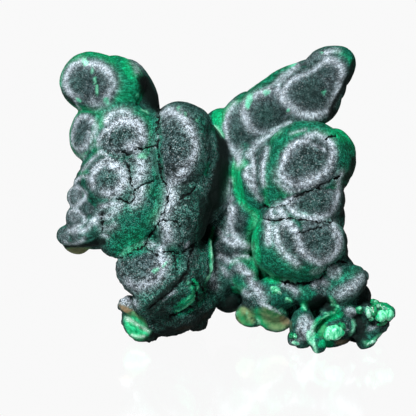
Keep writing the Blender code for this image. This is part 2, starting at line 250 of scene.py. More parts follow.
# Eyes: the lobes that share one, its middle (right, up), half sizes of its ring, roll, and the green round it
EYES = (
    (("knob_cap", "knob_neck"), (-34.2, 67.6), (6.0, 5.3), 0, 0.65),
    (("ear",), (-35.9, 55.4), (3.0, 4.4), -12, 0.75),
    (("brow",), (-25.6, 54.6), (5.4, 4.2), 20, 0.50),
    (("cheek",), (-30.4, 44.6), (4.3, 4.6), -25, 0.45),
    (("bead_a",), (-36.3, 42.6), (2.0, 1.9), 0, 0.40),
    (("bead_b",), (-37.3, 39.9), (2.2, 2.7), 0, 0.30),
    (("bead_c",), (-35.1, 36.5), (2.0, 2.0), 0, 0.20),
    (("bead_d",), (-38.4, 33.4), (2.2, 2.7), 0, 0.20),
    (("bead_tip",), (-40.9, 29.6), (1.8, 1.9), 0, 0.30),
    (("bead_low",), (-38.8, 29.8), (1.8, 1.6), 0, 0.20),
    (("column_top", "column_crown", "column_side"), (-14.0, 52.0), (6.2, 9.4), 0, 0.14),
    (("chin", "chin_low"), (-22.6, 23.0), (6.6, 5.8), 0, 0.22),
    (("wing_tip", "wing_ridge", "back_wing"), (22.6, 70.2), (7.2, 5.0), 30, 0.40),
    (("wing_a", "wing_side", "wing_rim", "wing_lip"), (21.3, 65.4), (6.4, 5.8), 25, 0.20),
    (("wing_b",), (11.4, 60.5), (6.8, 5.2), 25, 0.45),
    (("wing_c",), (4.1, 55.7), (4.3, 6.4), 5, 0.60),
    (("dome", "dome_edge"), (20.1, 47.4), (6.6, 6.0), 20, 0.60),
    (("neck", "neck_edge"), (21.2, 38.8), (6.4, 4.6), 10, 0.25),
    (("bowl_a", "bowl", "side_strip", "bowl_edge"), (22.6, 28.6), (5.3, 4.6), 0, 0.40),
    (("bowl_b",), (15.6, 28.0), (3.4, 4.6), 20, 0.45),
    (("gully_a",), (4.2, 33.0), (3.5, 5.0), 0, 0.40),
    (("gully_d",), (0.2, 26.8), (3.0, 2.8), 0, 0.40),
    (("gully_e",), (3.2, 18.8), (2.5, 3.0), 0, 0.55),
)

# Patches: what shows there, centre (right, up), half sizes, roll and strength. A pale patch adds painted
# fibre-tip sheen; a dark one is painted shade on flanks and in hollows, save the two faint ones that darken
# the wing and dome eyes; the mint strip on the column's right edge is a painted highlight.
PATCHES = (
    ("green", (-25.5, 70.5), (2.75, 6.0), -15, 0.65),
    ("vivid", (-24.5, 71.5), (1.25, 3.0), 20, 0.8),
    ("mint", (-36.75, 63.38), (0.7, 0.45), -35, 0.9),
    ("mint", (-29.75, 63.25), (0.6, 0.8), 0, 0.9),
    ("mint", (-41.3, 67.25), (0.3, 0.75), 0, 0.8),
    ("mint", (-34.75, 73.0), (0.35, 0.8), 30, 0.5),
    ("mint", (-22.0, 64.5), (0.4, 0.4), 0, 0.8),
    ("dark", (-19.75, 66.0), (1.75, 4.25), 18, 0.9),
    ("green", (-26.5, 61.75), (6.0, 1.5), 0, 0.7),
    ("green", (-17.75, 56.0), (1.75, 6.0), 0, 0.7),
    ("mint", (-20.25, 60.62), (0.88, 0.4), -12, 0.9),
    ("green", (-31.5, 60.5), (2.0, 2.0), 0, 0.6),
    ("mint", (-20.62, 49.5), (0.75, 0.45), 0, 0.7),
    ("dark", (-30.5, 35.12), (1.1, 0.6), 25, 1.0),
    ("pale", (-36.8, 39.8), (1.5, 1.6), 0, 0.2),
    ("pale", (-37.8, 34.2), (1.3, 1.5), 0, 0.2),
    ("pale", (-40.2, 29.4), (1.3, 1.0), 0, 0.16),
    ("green", (-16.75, 44.0), (1.5, 8.0), 3, 0.85),
    ("vivid", (-23.25, 28.5), (3.75, 3.75), 30, 0.35),
    ("green", (-24.0, 31.5), (7.25, 6.75), 0, 0.8),
    ("green", (-6.0, 57.0), (1.0, 2.6), 8, 0.5),
    ("mint", (-17.75, 21.0), (0.75, 0.35), 35, 0.6),
    ("green", (-9.6, 13.8), (4.2, 4.2), 20, 0.3),
    ("green", (-6.2, 15.0), (1.5, 3.4), -18, 0.6),
    ("mint", (-3.35, 22.8), (0.25, 1.6), 0, 1.0),
    ("vivid", (-3.9, 24.5), (0.5, 5.0), 4, 0.7),
    ("green", (-5.75, 28.5), (2.0, 5.5), 5, 0.4),
    ("pale", (-24.75, 13.25), (1.75, 1.12), -10, 0.8),
    ("pale", (-13.1, 15.4), (0.9, 0.4), 40, 0.7),
    ("pale", (-15.0, 13.8), (0.8, 0.35), 40, 0.5),
    ("pale", (-9.6, 27.4), (0.5, 0.9), -30, 0.7),
    ("brown", (-10.3, 6.5), (2.2, 0.35), 18, 0.8),
    ("brown", (-5.2, 9.2), (0.5, 1.2), -35, 0.7),
    ("brown", (-23.5, 9.88), (4.25, 0.85), -36, 1.0),
    ("silk", (-22.5, 6.25), (2.75, 4.0), 32, 1.0),
    ("olive", (-37.0, 25.75), (3.5, 1.12), 0, 1.0),
    ("brown", (-37.3, 25.7), (3.2, 0.9), 0, 0.62),
    ("vivid", (-1.9, 59.2), (1.7, 2.6), 0, 0.9),
    ("mint", (-1.75, 55.75), (0.45, 1.5), 35, 0.7),
    ("mint", (5.75, 63.25), (0.8, 2.0), -15, 0.7),
    ("mint", (10.12, 65.5), (0.75, 0.75), 0, 0.6),
    ("mint", (16.75, 72.75), (0.75, 0.62), 0, 0.8),
    ("mint", (24.5, 65.38), (0.45, 0.4), 0, 0.8),
    ("mint", (15.62, 60.88), (0.38, 0.38), 0, 0.7),
    ("green", (9.0, 67.5), (6.0, 1.0), 35, 0.75),
    ("green", (29.25, 75.0), (2.0, 2.25), 0, 0.5),
    ("mint", (24.0, 75.38), (0.5, 0.35), 0, 0.6),
    ("dark", (31.0, 67.0), (0.88, 5.5), -20, 0.9),
    ("dark", (27.25, 59.75), (1.5, 2.0), 0, 0.9),
    ("green", (11.5, 45.5), (2.0, 8.5), 0, 0.95),
    ("green", (14.0, 53.0), (1.75, 4.0), -40, 0.9),
    ("green", (19.25, 56.75), (7.0, 1.5), 3, 0.9),
    ("vivid", (29.25, 54.5), (2.25, 1.5), -40, 0.9),
    ("green", (30.25, 49.0), (2.25, 4.5), 0, 0.7),
    ("vivid", (2.75, 43.0), (1.25, 6.0), 8, 0.95),
    ("green", (7.5, 38.5), (2.5, 2.0), 0, 0.8),
    ("green", (4.5, 51.0), (2.0, 1.5), 40, 0.6),
    ("green", (10.5, 23.0), (4.5, 4.5), 0, 0.9),
    ("vivid", (7.12, 26.5), (1.12, 6.5), 6, 0.85),
    ("vivid", (10.25, 19.75), (3.75, 1.25), -25, 0.9),
    ("green", (18.5, 20.25), (7.5, 2.0), 0, 0.85),
    ("pale", (26.9, 20.5), (2.0, 1.8), -20, 0.45),
    ("pale", (22.6, 20.8), (2.0, 0.9), 15, 0.25),
    ("dark", (21.5, 64.8), (3.6, 3.0), 25, 0.22),
    ("dark", (18.6, 48.2), (3.6, 2.8), 20, 0.16),
    ("vivid", (3.0, 16.25), (1.25, 1.5), 0, 0.6),
    ("green", (3.75, 18.25), (1.75, 2.25), 0, 0.7),
    ("dark", (1.5, 12.75), (2.0, 2.0), 0, 0.95),
    ("olive", (4.75, 9.25), (3.0, 2.5), 0, 1.0),
    ("olive", (11.5, 8.62), (4.5, 2.38), -25, 1.0),
    ("pale", (11.0, 11.5), (3.5, 0.6), -32, 0.85),
    ("mint", (12.38, 16.12), (1.12, 0.85), -20, 1.0),
    ("mint", (15.5, 13.62), (1.0, 0.6), -25, 0.9),
    ("green", (12.5, 13.5), (4.0, 2.5), -20, 0.8),
    ("brown", (14.75, 8.25), (1.5, 1.0), -30, 0.7),
    ("green", (19.75, 14.75), (2.0, 3.0), 0, 0.95),
    ("vivid", (19.5, 12.0), (1.25, 1.25), 0, 0.7),
    ("dark", (24.0, 13.25), (2.75, 1.75), 0, 0.95),
    ("green", (30.25, 20.0), (5.0, 1.5), 30, 0.8),
    ("dark", (34.75, 15.5), (1.25, 3.0), -20, 0.85),
    ("vivid", (26.0, 9.25), (3.5, 0.88), 18, 0.95),
    ("vivid", (23.0, 6.75), (2.0, 3.0), -25, 0.8),
    ("olive", (24.0, 6.0), (1.12, 1.75), 0, 0.8),
    ("vivid", (24.75, 2.75), (2.25, 1.25), 0, 0.9),
    ("pale", (19.75, 6.75), (2.25, 3.25), 0, 0.55),
    ("mint", (31.75, 7.0), (0.45, 1.75), 12, 0.8),
    ("pale", (31.25, 10.5), (1.75, 1.25), -20, 0.6),
    ("pale", (36.5, 6.75), (1.5, 0.75), 30, 0.5),
    ("vivid", (27.25, 12.5), (0.6, 2.0), 20, 0.9),
    ("mint", (25.4, 9.85), (1.4, 0.2), 28, 0.6),
    ("mint", (21.75, 2.0), (0.35, 2.0), 12, 0.6),
    ("mint", (20.38, 3.5), (0.25, 1.4), 8, 0.4),
    ("vivid", (37.75, 4.25), (1.75, 0.5), 25, 0.8),
    ("vivid", (40.2, 12.0), (2.2, 1.1), -45, 1.0),
    ("vivid", (35.25, 2.75), (0.75, 1.0), 0, 0.7),
    ("brown", (29.25, 3.0), (2.25, 0.75), 0, 0.6),
    ("vivid", (16.5, 4.75), (0.75, 0.75), 0, 0.9),
    ("pale", (17.25, 3.0), (1.0, 0.75), 0, 0.7),
    ("dark", (33.5, 5.5), (1.75, 3.0), 0, 0.8),
)

# Shrinkage cracks, as points (right, up) along each
CRACKS = (
    ((-17.0, 61.75), (-17.0, 58.0), (-17.12, 54.0), (-16.88, 50.5), (-16.5, 46.5), (-16.12, 44.0),
        (-15.0, 42.0), (-14.5, 39.5), (-15.0, 37.0), (-16.5, 33.5), (-18.5, 30.0), (-20.25, 27.5)),
    ((-20.0, 27.25), (-22.0, 26.25), (-24.5, 25.25), (-26.75, 24.0)),
    ((-25.25, 49.0), (-24.5, 47.5), (-23.88, 45.5), (-23.75, 42.75), (-22.62, 41.0), (-22.5, 39.0),
        (-23.75, 37.5), (-25.5, 38.25), (-27.25, 38.75)),
    ((-22.5, 51.0), (-20.75, 51.25), (-19.0, 51.5), (-17.5, 52.0)),
    ((-22.0, 41.5), (-20.0, 42.5), (-18.0, 43.25)),
    ((-31.0, 34.5), (-30.75, 32.5), (-31.0, 30.75)),
    ((-16.5, 33.25), (-14.5, 33.5), (-12.25, 33.0), (-11.0, 31.75)),
    ((-15.25, 25.75), (-13.5, 25.5), (-11.25, 25.0), (-9.25, 26.25), (-7.5, 27.75)),
    ((-9.75, 20.75), (-11.25, 18.25), (-13.5, 16.0), (-16.5, 13.5), (-19.0, 11.5)),
    ((-20.0, 27.0), (-18.25, 26.0), (-16.75, 24.75)),
    ((-6.5, 18.0), (-5.5, 16.0), (-5.0, 13.75)),
    ((-8.5, 18.5), (-7.25, 16.0), (-7.25, 12.75)),
    ((-14.0, 9.5), (-11.0, 10.5), (-8.5, 12.0)),
    ((-11.6, 38.6), (-10.6, 39.7), (-9.2, 40.1), (-8.0, 41.2), (-7.4, 42.0)),
    ((-25.8, 50.2), (-24.6, 49.7), (-23.2, 49.9)),
    ((-13.6, 25.6), (-12.6, 23.4), (-12.2, 21.2)),
    ((-7.6, 27.6), (-9.0, 24.4), (-9.4, 21.0)),
    ((-13.5, 52.0), (-14.0, 51.0)),
    ((25.0, 54.0), (26.25, 54.5), (27.25, 54.5)),
    ((14.5, 37.25), (17.0, 39.25), (20.0, 40.5), (23.0, 41.5), (26.0, 43.25), (28.0, 44.25)),
    ((9.25, 37.0), (11.5, 36.75), (13.5, 37.0), (14.75, 37.5)),
    ((9.0, 34.0), (11.25, 33.25), (13.5, 33.75), (16.0, 34.25), (19.5, 33.75), (23.0, 33.25),
        (26.75, 33.25)),
    ((17.5, 30.0), (20.5, 31.0), (23.5, 32.0)),
    ((30.25, 23.0), (28.5, 23.25), (27.0, 22.75), (25.25, 21.5), (24.25, 19.5), (22.75, 18.5),
        (20.5, 17.75), (17.0, 17.5), (13.5, 18.0)),
)

# Pale bands of painted sheen where the fibre tips catch the light, face on: half width, strength, then points
# (right, up) along the middle
SHEEN_BANDS = (
    (0.75, 1.0, ((-40.2, 68.6), (-39.6, 70.5), (-38.3, 72.1), (-36, 73.1), (-34.3, 72.4), (-32.7, 72))),
    (0.95, 1.0, ((-32.7, 72), (-31.3, 71.7), (-29.5, 70.7), (-28.5, 69.3), (-27.9, 67.7),
        (-28.1, 66.1), (-29, 64.7), (-29.6, 63.5), (-30.6, 62.4), (-32.2, 62.1), (-33.2, 62.6))),
    (0.75, 1.0, ((-40.2, 68.6), (-40, 67), (-39.3, 65.8), (-38.4, 64.6), (-37.2, 63.7))),
    (0.3, 0.8, ((-37.8, 63), (-37.1, 61.9), (-36.4, 61.1))),
    (0.8, 0.55, ((-23.4, 73.1), (-22.3, 72.1), (-22, 70.7))),
    (0.5, 0.85, ((-38.4, 53.1), (-38.4, 54.7), (-38.1, 56.5), (-37.3, 58.4), (-35.9, 59.4),
        (-34.5, 59.3), (-33.3, 58.2))),
    (0.8, 0.85, ((-33.3, 58.2), (-32.4, 56.8), (-32.8, 55.6), (-33.6, 54.5), (-34, 53.1),
        (-35.2, 51.7), (-36.6, 51))),
    (0.45, 0.8, ((-36.6, 51), (-37.8, 51.7), (-38.4, 53.1))),
    (0.3, 0.8, ((-34.2, 55.4), (-33.2, 54.7), (-32.2, 53.7))),
    (0.3, 0.7, ((-33.7, 51.2), (-32.9, 52.4))),
    (0.6, 0.7, ((-37.3, 49.4), (-36.6, 48.9), (-35.7, 49.6))),
    (0.85, 1.0, ((-29.9, 58), (-29.5, 59.4), (-28, 60.2), (-26.1, 60.7), (-24.2, 60.2))),
    (0.55, 0.95, ((-32, 52.1), (-31.5, 54), (-30.5, 55.4), (-29.2, 56.1), (-27.8, 57.2), (-26.1, 58))),
    (1.1, 1.0, ((-26.1, 58), (-24.3, 58.2), (-22.6, 57.7), (-21.4, 56.5), (-20.7, 54.7), (-20.8, 53),
        (-22.2, 52.1), (-23.8, 51.7))),
    (0.25, 0.8, ((-28.8, 55.9), (-29.2, 53.8))),
    (0.35, 1.0, ((-31.5, 50.6), (-30.3, 49.9), (-29.1, 48.8))),
    (1.25, 0.85, ((-22.9, 51.2), (-21.7, 49.6), (-21.2, 48.2), (-21, 46.5), (-21.4, 44.7),
        (-21.9, 43.5), (-22.6, 42.6))),
    (1.0, 0.9, ((-20.8, 41.4), (-21.4, 40.2), (-21.9, 38.7), (-22.9, 37.5))),
    (0.5, 0.9, ((-35.7, 45.9), (-34.7, 46.8), (-32.9, 48.9), (-31.4, 50.3))),
    (0.4, 0.8, ((-33.3, 45.6), (-31.5, 47.2), (-29.8, 48.7))),
    (0.5, 0.9, ((-32.9, 41.6), (-33.2, 43.1), (-33, 44.7), (-32.1, 46.1), (-30.5, 47.2), (-28.7, 47.4))),
    (1.0, 0.95, ((-28.7, 47.4), (-27, 47.1), (-25.7, 45.9), (-25, 44.4), (-25.4, 42.8), (-26.1, 41.6),
        (-27.1, 40.5), (-28.5, 39.8), (-30.3, 40.2))),
    (0.35, 0.95, ((-38.1, 42.6), (-37, 43.8), (-35.2, 44.5), (-33.8, 44), (-33.2, 42.8), (-33.1, 41.4))),
    (0.3, 0.9, ((-38.4, 42.3), (-37, 41.6), (-35.7, 41))),
    (0.3, 0.95, ((-35.7, 40.9), (-37.1, 41.6), (-38.6, 41.7), (-39.2, 40.5), (-39.4, 38.7),
        (-38.8, 37.2), (-37.5, 36.7))),
    (0.45, 1.0, ((-37.5, 36.7), (-36.3, 37.9), (-35.2, 38.9), (-34.9, 40.2), (-35.7, 40.9))),
    (0.3, 0.95, ((-39.2, 35.3), (-38.2, 36), (-36.9, 35.9), (-35.7, 34.4))),
    (0.45, 1.0, ((-35.7, 34.4), (-35.1, 33.4), (-35.7, 32.7), (-36.9, 32.1), (-38, 31.5))),
    (0.6, 1.0, ((-38.9, 30.9), (-37.3, 30.9), (-35.7, 30.8), (-34.5, 31.5), (-33.7, 32.7),
        (-32.7, 33.8), (-32.2, 32.9))),
    (0.45, 0.95, ((-40.5, 27.9), (-38.7, 27.5), (-36.9, 27.8), (-35.5, 28.7))),
    (0.7, 0.9, ((-30.8, 36.9), (-28.9, 37.4), (-27.1, 37.4), (-26, 37.4))),
    (1.0, 0.85, ((-31.7, 34.4), (-29.2, 34.3), (-28.2, 35.3), (-26.8, 36.4))),
    (0.9, 0.8, ((-30.6, 31.5), (-29.2, 31.5), (-27.9, 32.2))),
    (0.6, 0.9, ((-30.6, 29.7), (-29.8, 29.5))),
    (1.0, 1.0, ((-15.8, 60.3), (-14.2, 60.6), (-12.2, 60), (-10.6, 59), (-9.5, 57.2), (-8.6, 55.4))),
    (0.85, 0.9, ((-8.6, 55.4), (-7.9, 53.6), (-7.5, 51.3), (-7.9, 49.3), (-9, 47.7), (-10.3, 46))),
    (1.3, 0.95, ((-10.3, 46), (-11.5, 44.8), (-12.9, 43.4), (-13.8, 41.8), (-13.7, 40.2),
        (-13.9, 38.4), (-14.5, 36.6), (-15.3, 34.8), (-16.2, 33.4))),
    (1.3, 0.9, ((-15.3, 32.3), (-14.6, 30.5), (-14.7, 28.7))),
    (0.25, 0.9, ((-17, 54.5), (-17.1, 52.5), (-17.8, 51.3))),
    (0.75, 1.0, ((13, 45.2), (13.8, 47.9), (15, 50.1), (16.3, 51.8), (18.2, 52.9), (20.1, 53.2))),
    (0.75, 1.0, ((20.1, 54.1), (22.3, 55), (24.4, 54.2), (26.1, 52.9), (26.6, 50.8), (26.2, 49),
        (25.7, 47.1), (24.2, 45.2), (22.1, 43.8))),
    (0.35, 0.8, ((21.1, 52.3), (23, 51.8), (24.6, 50.8))),
    (1.1, 1.0, ((22.1, 43.8), (19.6, 42.6), (17.4, 42.2), (15.5, 42.9), (13.8, 44.2), (13, 45.2))),
    (0.7, 0.9, ((12.4, 43.6), (14.1, 41.9), (15.9, 40.8), (17.8, 40.8))),
    (0.4, 0.8, ((16.1, 55.1), (18, 55.6), (19.6, 55.9))),
    (0.8, 1.0, ((12.6, 56.2), (10.5, 54.8), (8.7, 53.3), (6.8, 51.4), (5.7, 49.8))),
    (0.55, 1.0, ((10.3, 51.4), (9.9, 49.8), (9.3, 47.7), (9.1, 45.6), (9.1, 44), (9.5, 42.3))),
    (0.55, 1.0, ((6.6, 49.4), (6.8, 47.3), (6.8, 45.2), (6.8, 43.1), (7, 41.1), (7.8, 39.6), (8.7, 38.7))),
    (0.6, 0.95, ((5.3, 46.5), (4.9, 44.8), (5.7, 43.4), (6.4, 41.9))),
    (0.8, 0.95, ((3.4, 50.8), (2.9, 49.2), (2.9, 47.3))),
    (0.75, 1.0, ((28.8, 45.2), (27.7, 43.6), (28.1, 41.5), (27.7, 39.4), (27.1, 37.3), (26.1, 35.3),
        (24.2, 34.3), (21.5, 34.1), (19, 34.4), (17, 35.5), (15.5, 36.9), (15.7, 38.2), (16.8, 39))),
    (0.25, 0.9, ((13.2, 37.2), (14.7, 38), (16.7, 39.4))),
    (0.5, 0.85, ((11.4, 36.5), (11.1, 35.3), (11.5, 34.4))),
    (0.9, 0.9, ((13, 36.7), (13.8, 35.1), (14.7, 33.6), (15.9, 32.4))),
    (0.55, 0.8, ((26.7, 33), (27.2, 31.5), (26.9, 29.9))),
    (0.6, 0.95, ((1.1, 43.4), (0.4, 40.2), (0.6, 37.3), (1.7, 36.3))),
    (0.6, 1.0, ((1.9, 36.1), (1, 34.4), (0.8, 32.6), (0.3, 30.1))),
    (0.8, 0.95, ((10.3, 33.3), (10.7, 31.6), (10.5, 30), (10.5, 27.9))),
    (0.8, 1.0, ((12.6, 31.8), (12.3, 30.2), (12.6, 28.3), (13.4, 26.5), (14.7, 24.8), (16.1, 23.8),
        (17.6, 22.5))),
    (0.8, 1.0, ((13.9, 32.7), (15.5, 32.5), (16.8, 31.2), (17.7, 30), (18, 28.5), (18.2, 26.5),
        (19.5, 25), (21.3, 23.8), (23.4, 22.9), (25.3, 23.8), (26.9, 25.2), (28, 26.9), (28.4, 28.5),
        (28, 30.2), (27.1, 31.8), (26.7, 32.9))),
    (0.5, 0.8, ((10.5, 34.4), (12.2, 34.1), (13.9, 34.3))),
    (0.8, 1.0, ((5.8, 18.6), (7, 17.1), (8.1, 15.7), (9.4, 14))),
    (0.6, 0.8, ((4.3, 15.7), (5.6, 14.9))),
    (0.8, 0.9, ((3.3, 21.9), (4.7, 20.4), (6.4, 20))),
    (0.7, 0.85, ((14.5, 17.5), (16.6, 16.7), (17.6, 15.6))),
    (0.6, 0.8, ((21.9, 17.5), (23.8, 18.5), (25, 17.5))),
    (1.2, 0.7, ((28.2, 14.9), (30.2, 16), (32.1, 17.5), (33.5, 19))),
    (0.9, 1.0, ((2, 29.2), (3.5, 28.1), (4.7, 27.1), (5.7, 26.5))),
    (0.6, 0.95, ((2.5, 24.8), (4.1, 24.4), (5.5, 24.4))),
    (0.9, 0.85, ((-14.9, 28.2), (-16.2, 26.5), (-16.2, 24.7), (-16.2, 23.1))),
    (1.2, 0.9, ((-15.4, 23.4), (-16.2, 21.1), (-17.2, 19.3), (-18.7, 18.3), (-20.8, 17.3),
        (-22.6, 16.6), (-24.1, 17.9))),
    (0.4, 1.0, ((-14.2, 14.9), (-12.8, 15.7))),
    (0.9, 0.9, ((-26.3, 13.2), (-24.6, 13.6), (-22.6, 12.7))),
    (0.7, 1.0, ((1, 38.7), (0.4, 36.9), (1.4, 33.9), (1, 31.3), (2.6, 28.5))),
    (0.6, 0.95, ((-1.8, 30.5), (-0.2, 28.8), (2.4, 27.2))),
    (0.7, 0.95, ((-1.7, 24.7), (0.4, 23.4), (2.8, 23.1))),
    (0.45, 0.8, ((-0.9, 21.6), (0.1, 19.8))),
    (0.8, 0.9, ((-2.7, 22.1), (-3.4, 19.3), (-2.9, 16.8))),
    (0.5, 0.6, ((-20.3, 27.9), (-19.3, 28.2), (-18, 27.5), (-19.3, 27.2), (-20.3, 27.9))),
    (0.7, 1.0, ((14, 64.6), (14.8, 66.5), (16.1, 68.2), (17.6, 69.1))),
    (0.55, 0.8, ((17.6, 69.1), (20.2, 70.1), (23, 71.9), (25.1, 73.6))),
    (0.8, 1.0, ((25.1, 73.6), (27.3, 73.6), (28.8, 72.1), (29.2, 69.9), (28.6, 67.6), (27.5, 65),
        (26.2, 62.4), (24.9, 60.5))),
    (0.9, 1.0, ((23.6, 60), (20.8, 59.7), (18.5, 60.2), (16.3, 61.8), (14.6, 63.3), (14, 64.6))),
    (0.6, 0.8, ((24.7, 75.3), (26.7, 76.2), (28.2, 76))),
    (0.6, 0.9, ((12.9, 65.6), (13.1, 67.8), (14.8, 69.7), (16.8, 71.2), (17.8, 72.3))),
    (0.8, 1.0, ((10.5, 66.1), (8.4, 65.4), (6.2, 64.3), (4.5, 62.6), (4.6, 60.5), (5.1, 58.3),
        (6.2, 56.6), (8.1, 55.3), (9.9, 55.5))),
    (0.6, 0.9, ((1.9, 62.2), (0.4, 60.2), (-0.1, 57.9), (-0, 54.9), (0.6, 52.5), (1.7, 51))),
    (0.9, 1.0, ((1.7, 51), (3.2, 49.3), (3.2, 47.8))),
    (0.45, 1.0, ((11.4, 55.7), (13.5, 57), (16.1, 57.9))),
    (0.8, 0.9, ((2.1, 62.8), (1, 61.3))),
    (0.5, 0.7, ((10.5, 66.5), (12.7, 68.2), (14.4, 70.1))),
)

# Glints on bare mint crystal edges and fibre edges: mint, whitened toward painted highlight where they catch
# the light, in the same columns
GLINTS = (
    (0.15, 1.0, ((27.0, 10.5), (25.8, 10.0), (24.6, 9.3), (23.6, 8.7))),
    (0.12, 0.5, ((23.6, 8.7), (22.4, 7.6), (21.3, 6.5))),
    (0.3, 1.0, ((20.6, 5.6), (20.3, 4.7), (20.9, 3.2), (21.5, 2.4))),
    (0.15, 0.9, ((23.0, 6.7), (22.1, 5.6), (21.8, 4.2), (21.8, 2.5))),
    (0.4, 1.0, ((21.8, 2.5), (22.1, 1.2), (22.6, 0.1))),
    (0.12, 0.8, ((26.1, 14.1), (26.5, 12.4), (27.2, 10.8))),
    (0.2, 0.8, ((26.3, 13.9), (27.2, 12.4), (28, 11.7))),
    (0.15, 0.5, ((23.7, 10.4), (25, 10.4), (25.9, 10.2))),
    (0.5, 0.4, ((6.7, 24.6), (7.6, 22.3), (9.2, 20.6), (11.4, 19.5))),
    (0.35, 0.8, ((31.8, 8.4), (32.2, 7.3), (31.6, 6), (31, 4.9))),
    (0.3, 0.7, ((36.6, 3.4), (37.7, 4.2), (39.1, 4.8))),
    (0.4, 0.6, ((34.4, 3.1), (35.1, 2.3))),
    (0.25, 0.8, ((19.2, 12.2), (19.7, 11.3))),
    (0.2, 0.9, ((7.8, 8.7), (8.3, 7.5), (9.2, 6.5))),
    (0.25, 0.8, ((2.3, 9.9), (2.6, 10.3))),
    (0.15, 0.6, ((5.3, 10.6), (5.5, 9.3), (5.7, 8.1))),
    (0.2, 0.5, ((13.4, 11.5), (14.5, 10.7), (15.5, 9.8))),
    (0.4, 1.0, ((-25.4, 9.1), (-23.8, 8.3), (-22.6, 7.6))),
    (0.4, 0.95, ((-22.6, 7.6), (-20.8, 6.7), (-19.1, 5.7))),
    (0.35, 0.8, ((-23.6, 4.6), (-22.1, 4.3), (-20.3, 4.3))),
    (0.22, 1.0, ((-3.7, 28.5), (-3.65, 25.3), (-3.3, 23.3), (-3.5, 21.5), (-4.7, 18.8))),
    (0.3, 0.8, ((-17.7, 20.8), (-17, 21.4))),
    (0.2, 0.8, ((-15.7, 22.1), (-14.7, 23))),
    (0.2, 0.4, ((-9.6, 18.3), (-8.5, 16.5))),
    (0.2, 0.45, ((-6.9, 17.2), (-7.1, 15.7), (-8.0, 14.0), (-9.1, 12.4), (-10.7, 11.4), (-12.4, 10.8))),
    (0.16, 0.4, ((-8.3, 15.8), (-9.0, 14.4), (-10.2, 13.4))),
    (0.4, 1.0, ((-35.3, 73.5), (-35, 72.4))),
    (0.15, 0.5, ((-33, 71.7), (-33.4, 70))),
    (0.2, 0.6, ((-32.5, 68.8), (-32.4, 67.5))),
    (0.15, 0.65, ((-32, 67), (-31.9, 64.7))),
    (0.2, 0.5, ((-11.8, 61.5), (-11.5, 60.2))),
    (0.18, 0.45, ((-10.2, 60.4), (-9.7, 59))),
    (0.15, 0.4, ((-7.3, 58.6), (-7, 57.7))),
    (0.35, 0.9, ((-2.8, 56.8), (-1.8, 55.8), (-0.9, 54.5))),
    (0.3, 0.7, ((-21, 60.8), (-19.4, 60.3))),
    (0.4, 0.7, ((-21.5, 49.4), (-20.1, 49.3))),
)

# Painted shade: dark bands where no fibre tips catch the light, on walls and undersides turned from the
# lamps, in the same columns
SHADE_BANDS = (
    (0.8, 0.97, ((-2.6, 56.6), (-1.6, 54.2), (-0.4, 51.5))),
    (1.5, 0.98, ((-0.9, 52.5), (-0.7, 49.8), (-0.8, 46.5))),
    (1.7, 0.98, ((-1.2, 47.2), (-2.2, 42.2), (-3.4, 37.2))),
    (1.3, 0.95, ((-3.6, 37.2), (-4.9, 33.2), (-5.4, 29.2))),
    (0.9, 0.85, ((-6, 38.5), (-6.2, 32.2), (-6, 27.2))),
    (1.5, 1.0, ((-20.4, 68.2), (-18.5, 64), (-17.0, 61.8))),
    (0.6, 0.8, ((-21.5, 69), (-19.5, 67))),
    (0.5, 0.9, ((31.8, 73.5), (31.5, 70.5), (30, 67.5), (28.2, 64.8), (26.8, 62))),
    (0.5, 0.75, ((26.8, 62), (25.5, 59.8))),
    (0.4, 0.8, ((-41, 65.2), (-39.5, 63.8), (-37.8, 62.2))),
    (0.8, 0.85, ((32, 48.5), (31.5, 45.5), (30, 43.5))),
    (0.7, 0.9, ((29.5, 42), (29.5, 38.5), (29, 34.5))),
    (0.4, 0.9, ((29.5, 31.5), (30, 28.5), (30.5, 24))),
    (0.9, 0.9, ((35.5, 17.2), (36.5, 15.2), (38, 13.8))),
    (1.0, 0.85, ((33.8, 13), (35, 13.5), (36.5, 13.5))),
    (2.1, 0.92, ((-19, 2.6), (-15.2, 4.2), (-11.5, 5.4), (-7.8, 6.6), (-4.8, 8.8))),
    (1.3, 0.6, ((-17.6, 8.6), (-15.6, 7.8), (-13.4, 7.6))),
    (1.3, 0.7, ((-16.2, 10.2), (-13.6, 8.2), (-9.5, 8.0), (-6.3, 10.3))),
    (1.4, 0.85, ((-3, 10.5), (-1, 11.5), (1.5, 11.5))),
    (0.9, 0.9, ((-33.5, 27.5), (-32, 27.8), (-30.8, 28))),
    (0.4, 0.95, ((-40.2, 26.9), (-37.5, 26.9), (-35, 27.2), (-33.5, 27.5))),
    (1.2, 0.9, ((21, 12.2), (24, 12.5), (26.5, 11.8))),
    (1.2, 0.95, ((32.9, 9.2), (34, 6.6), (32.8, 3.8), (31.4, 4.8))),
    (0.9, 0.75, ((35.5, 8), (38, 7), (40, 8))),
    (0.5, 0.7, ((18.5, 6), (19.5, 3.5), (21.5, 2.2))),
    (0.6, 0.6, ((-18.2, 8.2), (-15.2, 4.8), (-19, 3.5))),
    (0.7, 0.9, ((-9.2, 21), (-11.5, 19), (-13.4, 17.2))),
    (0.8, 0.75, ((-7.6, 20.0), (-6.2, 18.4), (-6.0, 16.8))),
    (0.7, 0.7, ((-6.3, 14.6), (-7.6, 12.6), (-8.4, 11.8))),
    (0.8, 0.6, ((-15.2, 12.6), (-12.6, 13.6), (-10.8, 15.4))),
    (1.2, 0.5, ((-8.8, 31.5), (-7.8, 27.5), (-8.2, 22.5))),
    (1.1, 0.9, ((-13.4, 17.2), (-16.2, 14.2), (-19, 11.6))),
    (0.5, 0.6, ((29.2, 4), (31.5, 3))),
    (0.5, 0.7, ((2.5, 14.5), (4.5, 12.2))),
    (0.3, 0.8, ((8.5, 7.2), (6.5, 9))),
)

